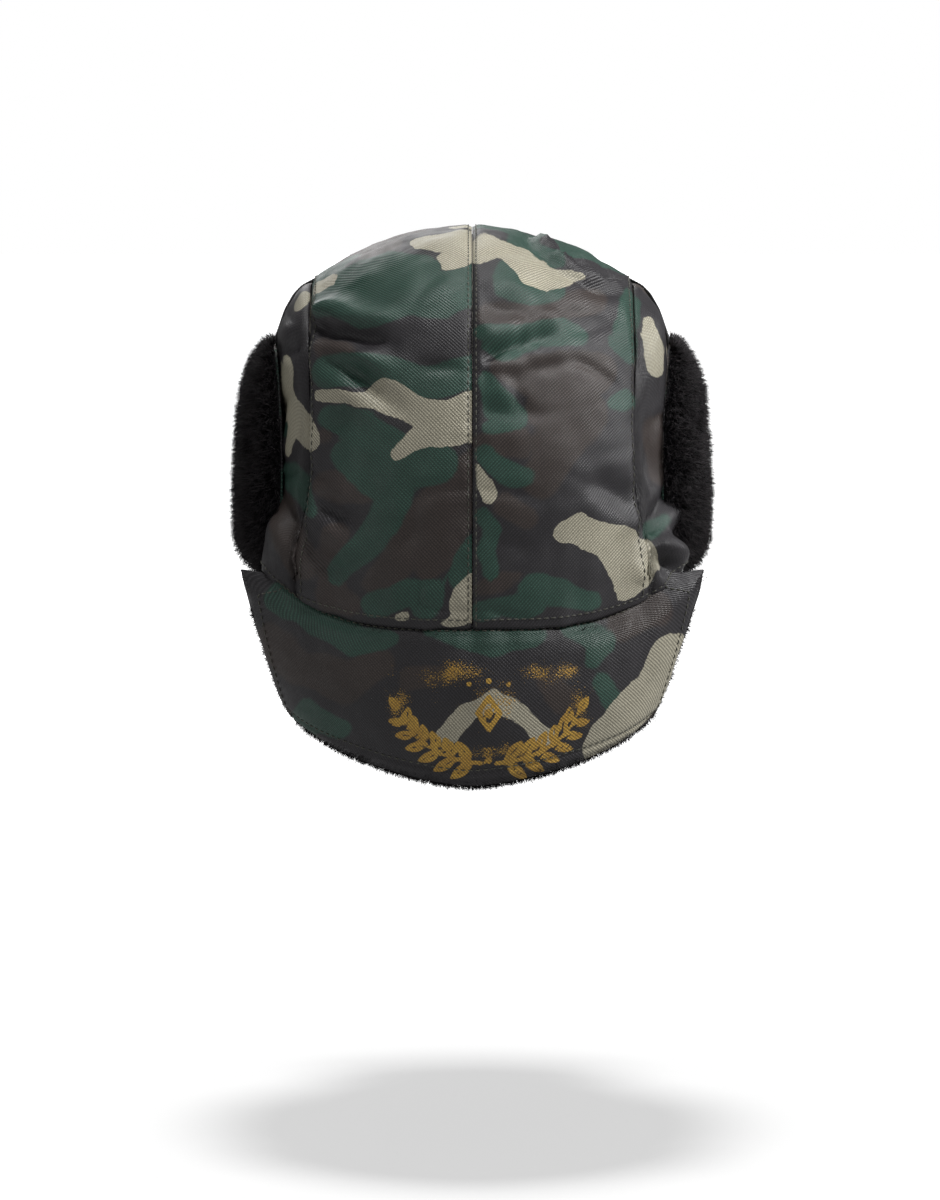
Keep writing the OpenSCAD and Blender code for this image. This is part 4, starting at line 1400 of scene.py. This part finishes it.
def print_shape(p):
    """Signed distance into the painted motif, in mm."""
    q = np.stack([np.abs(p[..., 0]), p[..., 1]], axis=-1)
    rhomb = (q[..., 0] / 7.0 + np.abs(q[..., 1] - 3) / 10.0) * 6
    shape = np.maximum(np.minimum(5.9 - rhomb, rhomb - 3.4), 2.0 - rhomb)
    turns = np.linspace(0.06, 1.0, 40) * STEM_SWEEP
    stem = np.stack([STEM_W * 0.72 * np.sin(turns), -21 + STEM_H * (1 - np.cos(turns))], axis=-1)
    widths = np.linspace(1.0, 0.45, len(stem))
    shape = np.maximum(shape, distance_to_chain(q, np.column_stack([stem, widths])))
    for k in range(LEAVES):
        i = int(3 + k * 36 / LEAVES)
        ahead = stem[min(i + 1, 39)] - stem[i - 1]
        heading = math.atan2(ahead[1], ahead[0])
        size = 13.5 - 0.9 * k
        for turn in (0.75, -0.75):
            shape = np.maximum(shape, leaf_shape(q, stem[i], heading + turn, size, 2.7 - 0.12 * k))
    shape = np.maximum(shape, leaf_shape(q, stem[-1], heading, 9.0, 2.2))
    for x, y, r in ((0, -19.5, 1.7), (9.5, 17, 1.3), (0, 18.5, 1.5)):
        shape = np.maximum(shape, r - np.linalg.norm(q - [x, y], axis=-1))
    return shape


print_place = seen_from_behind(neck_grid) - [PRINT_RIGHT, PRINT_UP]
print_field = np.maximum(print_shape(print_place), -6)
mist_gap = np.min([np.linalg.norm((print_place - spot) / size, axis=-1) for spot, size in MIST], axis=0)
mist_center = np.exp(-mist_gap ** 2)
neck_pieces = [cloth_piece("neck_shell", neck_grid, None, "neck", 13, ["neck_flap_shell"],
                           camo_printed, {"print": print_field, "mist": mist_center})]
neck_normals = outward(neck_grid, grid_normals(neck_grid))
NECK_PILE = 7.0
neck_lining = (neck_grid - (CLOTH_T + 0.1) * neck_normals)[:, 8:]
neck_normals = neck_normals[:, 8:]
neck_pieces += fur_coat("neck_fur", neck_lining[1:-1, 1:-1], -neck_normals[1:-1, 1:-1], 0.0, NECK_PILE,
                        "neck_flap_fur", 560, 17500, np.array([0.0, 0.0, -0.35]), 8.0, 0.4)


def rim_hairs(name, count, seed):
    """Hairs that peep out from under the neck flap's hem and front edges."""
    rand = np.random.default_rng(seed)
    u = rand.random(count)
    v = np.full(count, 0.995)
    sides = rand.random(count) < 0.25
    v = np.where(sides, 0.3 + 0.7 * rand.random(count), v)
    u = np.where(sides, np.where(rand.random(count) < 0.5, 0.006, 0.994), u)
    roots = lookup(neck_lining, u, v)
    out = unit(lookup(neck_normals, u, v))
    roots = roots - out * rand.uniform(0.2, 3.5, (count, 1))
    off = np.where(sides[:, None], unit(roots * [1, 0.4, 0]) * 0.5, np.array([0, 0, -1.0]))
    return fur_strands(name, roots, unit(off + 0.15 * out), np.array([0, 0, -0.15]),
                       np.full(count, 4.6), seed + 1, 0.36, 0.55)


neck_pieces.append(rim_hairs("neck_fur_rim", 9000, 580))
hem_lines = [line_on(neck_grid, column=-12), line_on(neck_grid, row=9), line_on(neck_grid, row=-10),
             line_on(neck_grid, column=4)]
neck_pieces.append(stitches("neck_topstitch", hem_lines))
for piece in neck_pieces:
    bend(piece, "neck_flap", "neck_flap")


# ------------------------------------------------------------------ chin strap

def smooth_path(points, across_at, count):
    """A smooth curve through points, with the way across the webbing at each place."""
    points, across_at = np.array(points), np.array(across_at)
    place = np.concatenate([[0], np.cumsum(np.linalg.norm(np.diff(points, axis=0), axis=1))])
    at = np.linspace(0, place[-1], count)
    curve = np.stack([np.interp(at, place, points[:, k]) for k in range(3)], 1)
    way = np.stack([np.interp(at, place, across_at[:, k]) for k in range(3)], 1)
    for _ in range(6):
        curve[1:-1] = (curve[:-2] + 2 * curve[1:-1] + curve[2:]) / 4
        way[1:-1] = (way[:-2] + 2 * way[1:-1] + way[2:]) / 4
    return curve, unit(way)


def webbing_curve(end_points):
    """The middle of the webbing from a flap's tip over the crown to its half of the buckle."""
    crossing = strap_line(np.linspace(STRIP_HALF_W, 55, 8))
    over = crossing + STRAP_LIFT * bulge(crossing)
    sewn = [np.array([EAR_FOLD_X - EAR_LEAN * v ** EAR_LEAN_POWER - 1.0, -12.0, EAR_FOOT + EAR_H * v])
            for v in (0.84, 0.92, 0.99)]
    rise = list(strap_rise)
    path = sewn + rise + list(over)
    ahead = np.gradient(np.array(rise + list(over)), axis=0)
    ways = [np.array([0, -1.0, 0])] * (len(sewn) + 1)
    ways += list(unit(np.cross(bulge(np.array(rise + list(over))), ahead)))[1:]
    path += end_points
    ways += [-buckle_across] * len(end_points)
    return smooth_path(path, ways, 220)


def webbing_strip(name, curve, way, sign, node=None):
    """A length of webbing round a curve, mirrored for the wearer's right."""
    side = np.linspace(-0.5, 0.5, 27)
    grid = curve[:, None] + STRAP_W * side[None, :, None] * way[:, None]
    up = grid_normals(grid)
    along = np.linspace(0, 1, len(curve))[:, None] * np.linalg.norm(np.diff(curve, axis=0), axis=1).sum()
    ribs = 0.10 * np.sin(along * 2 * math.pi / 2.4 + side * 50.0)
    thin = STRAP_T / 2 * (1 - np.abs(2 * side) ** 8 * 0.6) + ribs
    if sign < 0:
        grid, up = mirrored(grid), mirrored(up)
    coords = np.stack([side * STRAP_W + 0 * along, along + 0 * side, 0 * along + 0 * side], axis=-1)
    outer, inner = grid + thin[..., None] * up, grid - thin[..., None] * up
    mesh = faced_sheet(name, outer, inner, up, {"cloth": coords})
    return link(name, mesh, None, webbing_cloth, [node] if node else [])


BAR_R = 1.4
BAR_AIR = 0.3
LOOP_R = BAR_R + BAR_AIR + STRAP_T / 2
BAR_X = 27.0
# The left webbing is in two lengths, split at SPLIT_X; the second length runs on to the tongue half of the
# buckle
SPLIT_X = 58.0
left_curve, left_way = webbing_curve([at_buckle(42, 0), at_buckle(34, 0), at_buckle(27, 0)])
split = int(np.argmax(left_curve[:, 0] < SPLIT_X))
left_web = webbing_strip("webbing_left", left_curve[:split + 1], left_way[:split + 1], 1,
                         "strap_webbing_left")
left_end = webbing_strip("webbing_left_end", left_curve[split:], left_way[split:], 1)
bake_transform(left_end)
loop_turns = np.radians(np.arange(90, 271, 20))
loop = [at_buckle(BAR_X + LOOP_R * math.cos(t), LOOP_R * math.sin(t)) for t in loop_turns]
right_curve = webbing_curve([at_buckle(BAR_X + 9, LOOP_R - 1)] + loop
                            + [at_buckle(BAR_X + 9, -LOOP_R - 0.6)])
right_web = webbing_strip("webbing_right", *right_curve, -1, "strap_webbing_right")
for web, sign, side_name in ((left_web, 1, "left"), (right_web, -1, "right")):
    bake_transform(web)

def finish_hard_part(node_name, material, edge_mm, segments):
    """A CAD node that stays as it is, with its material and softened edges."""
    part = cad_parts[node_name]
    part.data.materials.clear()
    part.data.materials.append(material)
    soften = part.modifiers.new("soften", "BEVEL")
    soften.width = edge_mm * MM
    soften.segments = segments
    soften.limit_method = "ANGLE"


for node_name in ("buckle_male", "buckle_female"):
    finish_hard_part(node_name, plastic, 0.5, 3)
for node_name in ("front_snap_studs", "front_snap_sockets", "front_snap_caps"):
    finish_hard_part(node_name, metal, 0.25, 2)


# ------------------------------------------------------------------ stage, light and camera

FLOOR_Z = -281.0
FLOOR_HALF_W = 6000.0
FLOOR_LIFT = 0.54
FLOOR_FADE = (330.0, 520.0)


def stage_floor():
    corners = [(x * FLOOR_HALF_W, y * FLOOR_HALF_W, FLOOR_Z) for x, y in ((-1, -1), (1, -1), (1, 1), (-1, 1))]
    mesh = make_mesh("floor", corners, [[0, 1, 2, 3]])
    s = Shader("floor_paper", Base_Color=(0.9, 0.9, 0.9, 1), Roughness=0.9, Emission_Color=(1, 1, 1, 1),
               Specular_IOR_Level=0.0)
    seen = s.node("ShaderNodeLightPath")
    reach = s.node("ShaderNodeVectorMath", output=1, set_operation="LENGTH", in0=s.place_mm())
    lift = s.remap(reach, *FLOOR_FADE, FLOOR_LIFT, 1.5)
    s.finish(Emission_Strength=s.math("MULTIPLY", seen, lift))
    floor = link("floor", mesh, material=s.material)
    return floor


def soft_light(name, place, aim, size, power):
    lamp = bpy.data.lights.new(name, "AREA")
    lamp.shape = "DISK"
    lamp.size = size
    lamp.energy = power
    holder = bpy.data.objects.new(name, lamp)
    bpy.context.scene.collection.objects.link(holder)
    holder.location = Vector(place)
    holder.rotation_euler = (Vector(aim) - Vector(place)).to_track_quat("-Z", "Y").to_euler()
    return holder


def share_light(lamps, floor, state):
    """Lets the lamps light only the floor (INCLUDE) or everything else (EXCLUDE)."""
    group = bpy.data.collections.new("floor_" + state.lower())
    group.objects.link(floor)
    group.collection_objects[0].light_linking.link_state = state
    for lamp in lamps:
        lamp.light_linking.receiver_collection = group


VIEW_HEIGHT = 576.0
VIEW_MIDDLE = (1.0, 21.6)


def stage_camera():
    camera = bpy.data.cameras.new("camera")
    holder = bpy.data.objects.new("camera", camera)
    bpy.context.scene.collection.objects.link(holder)
    bpy.context.scene.camera = holder
    camera.sensor_fit = "VERTICAL"
    camera.sensor_height = 24.0
    camera.lens = camera.sensor_height * CAMERA_DISTANCE / VIEW_HEIGHT
    camera.clip_end = 50
    c, s = math.cos(CAMERA_ELEVATION), math.sin(CAMERA_ELEVATION)
    right, down = VIEW_MIDDLE
    aim = np.array([right, down * s, -down * c])
    place = aim + CAMERA_DISTANCE * np.array([0, c, s])
    holder.location = Vector(place * MM)
    holder.rotation_euler = Vector((aim - place)).to_track_quat("-Z", "Y").to_euler()


floor_piece = stage_floor()
stage_camera()
hat_lamps = [
    soft_light("rim", (-1.7, 0.1, 1.0), (0, 0, 0.06), 0.3, 28),
    soft_light("key", (-1.0, 0.9, 1.5), (0, 0, 0.03), 0.3, 16),
    soft_light("fill", (1.7, 1.2, 0.5), (0, 0, 0.03), 0.7, 4.5),
    soft_light("top", (0.0, 0.0, 1.75), (0, 0, 0), 0.22, 15),
    soft_light("front", (0.4, -1.8, 0.9), (0, 0, 0.03), 1.0, 9),
]
share_light(hat_lamps, floor_piece, "EXCLUDE")
share_light([soft_light("shadow", (0, 0, 4.0), (0, 0, 0), 0.8, 68)], floor_piece, "INCLUDE")


def white_studio(seen, cast):
    """A world that looks white to the camera and lights the hat more softly."""
    world = bpy.data.worlds.new("studio")
    bpy.context.scene.world = world
    world.use_nodes = True
    background = world.node_tree.nodes["Background"]
    path = world.node_tree.nodes.new("ShaderNodeLightPath")
    blend = world.node_tree.nodes.new("ShaderNodeMapRange")
    world.node_tree.links.new(path.outputs["Is Camera Ray"], blend.inputs["Value"])
    blend.inputs["To Min"].default_value = cast
    blend.inputs["To Max"].default_value = seen
    background.inputs["Color"].default_value = (1, 1, 1, 1)
    world.node_tree.links.new(blend.outputs[0], background.inputs["Strength"])


white_studio(1.0, 0.16)
bpy.context.scene.view_settings.view_transform = "Standard"
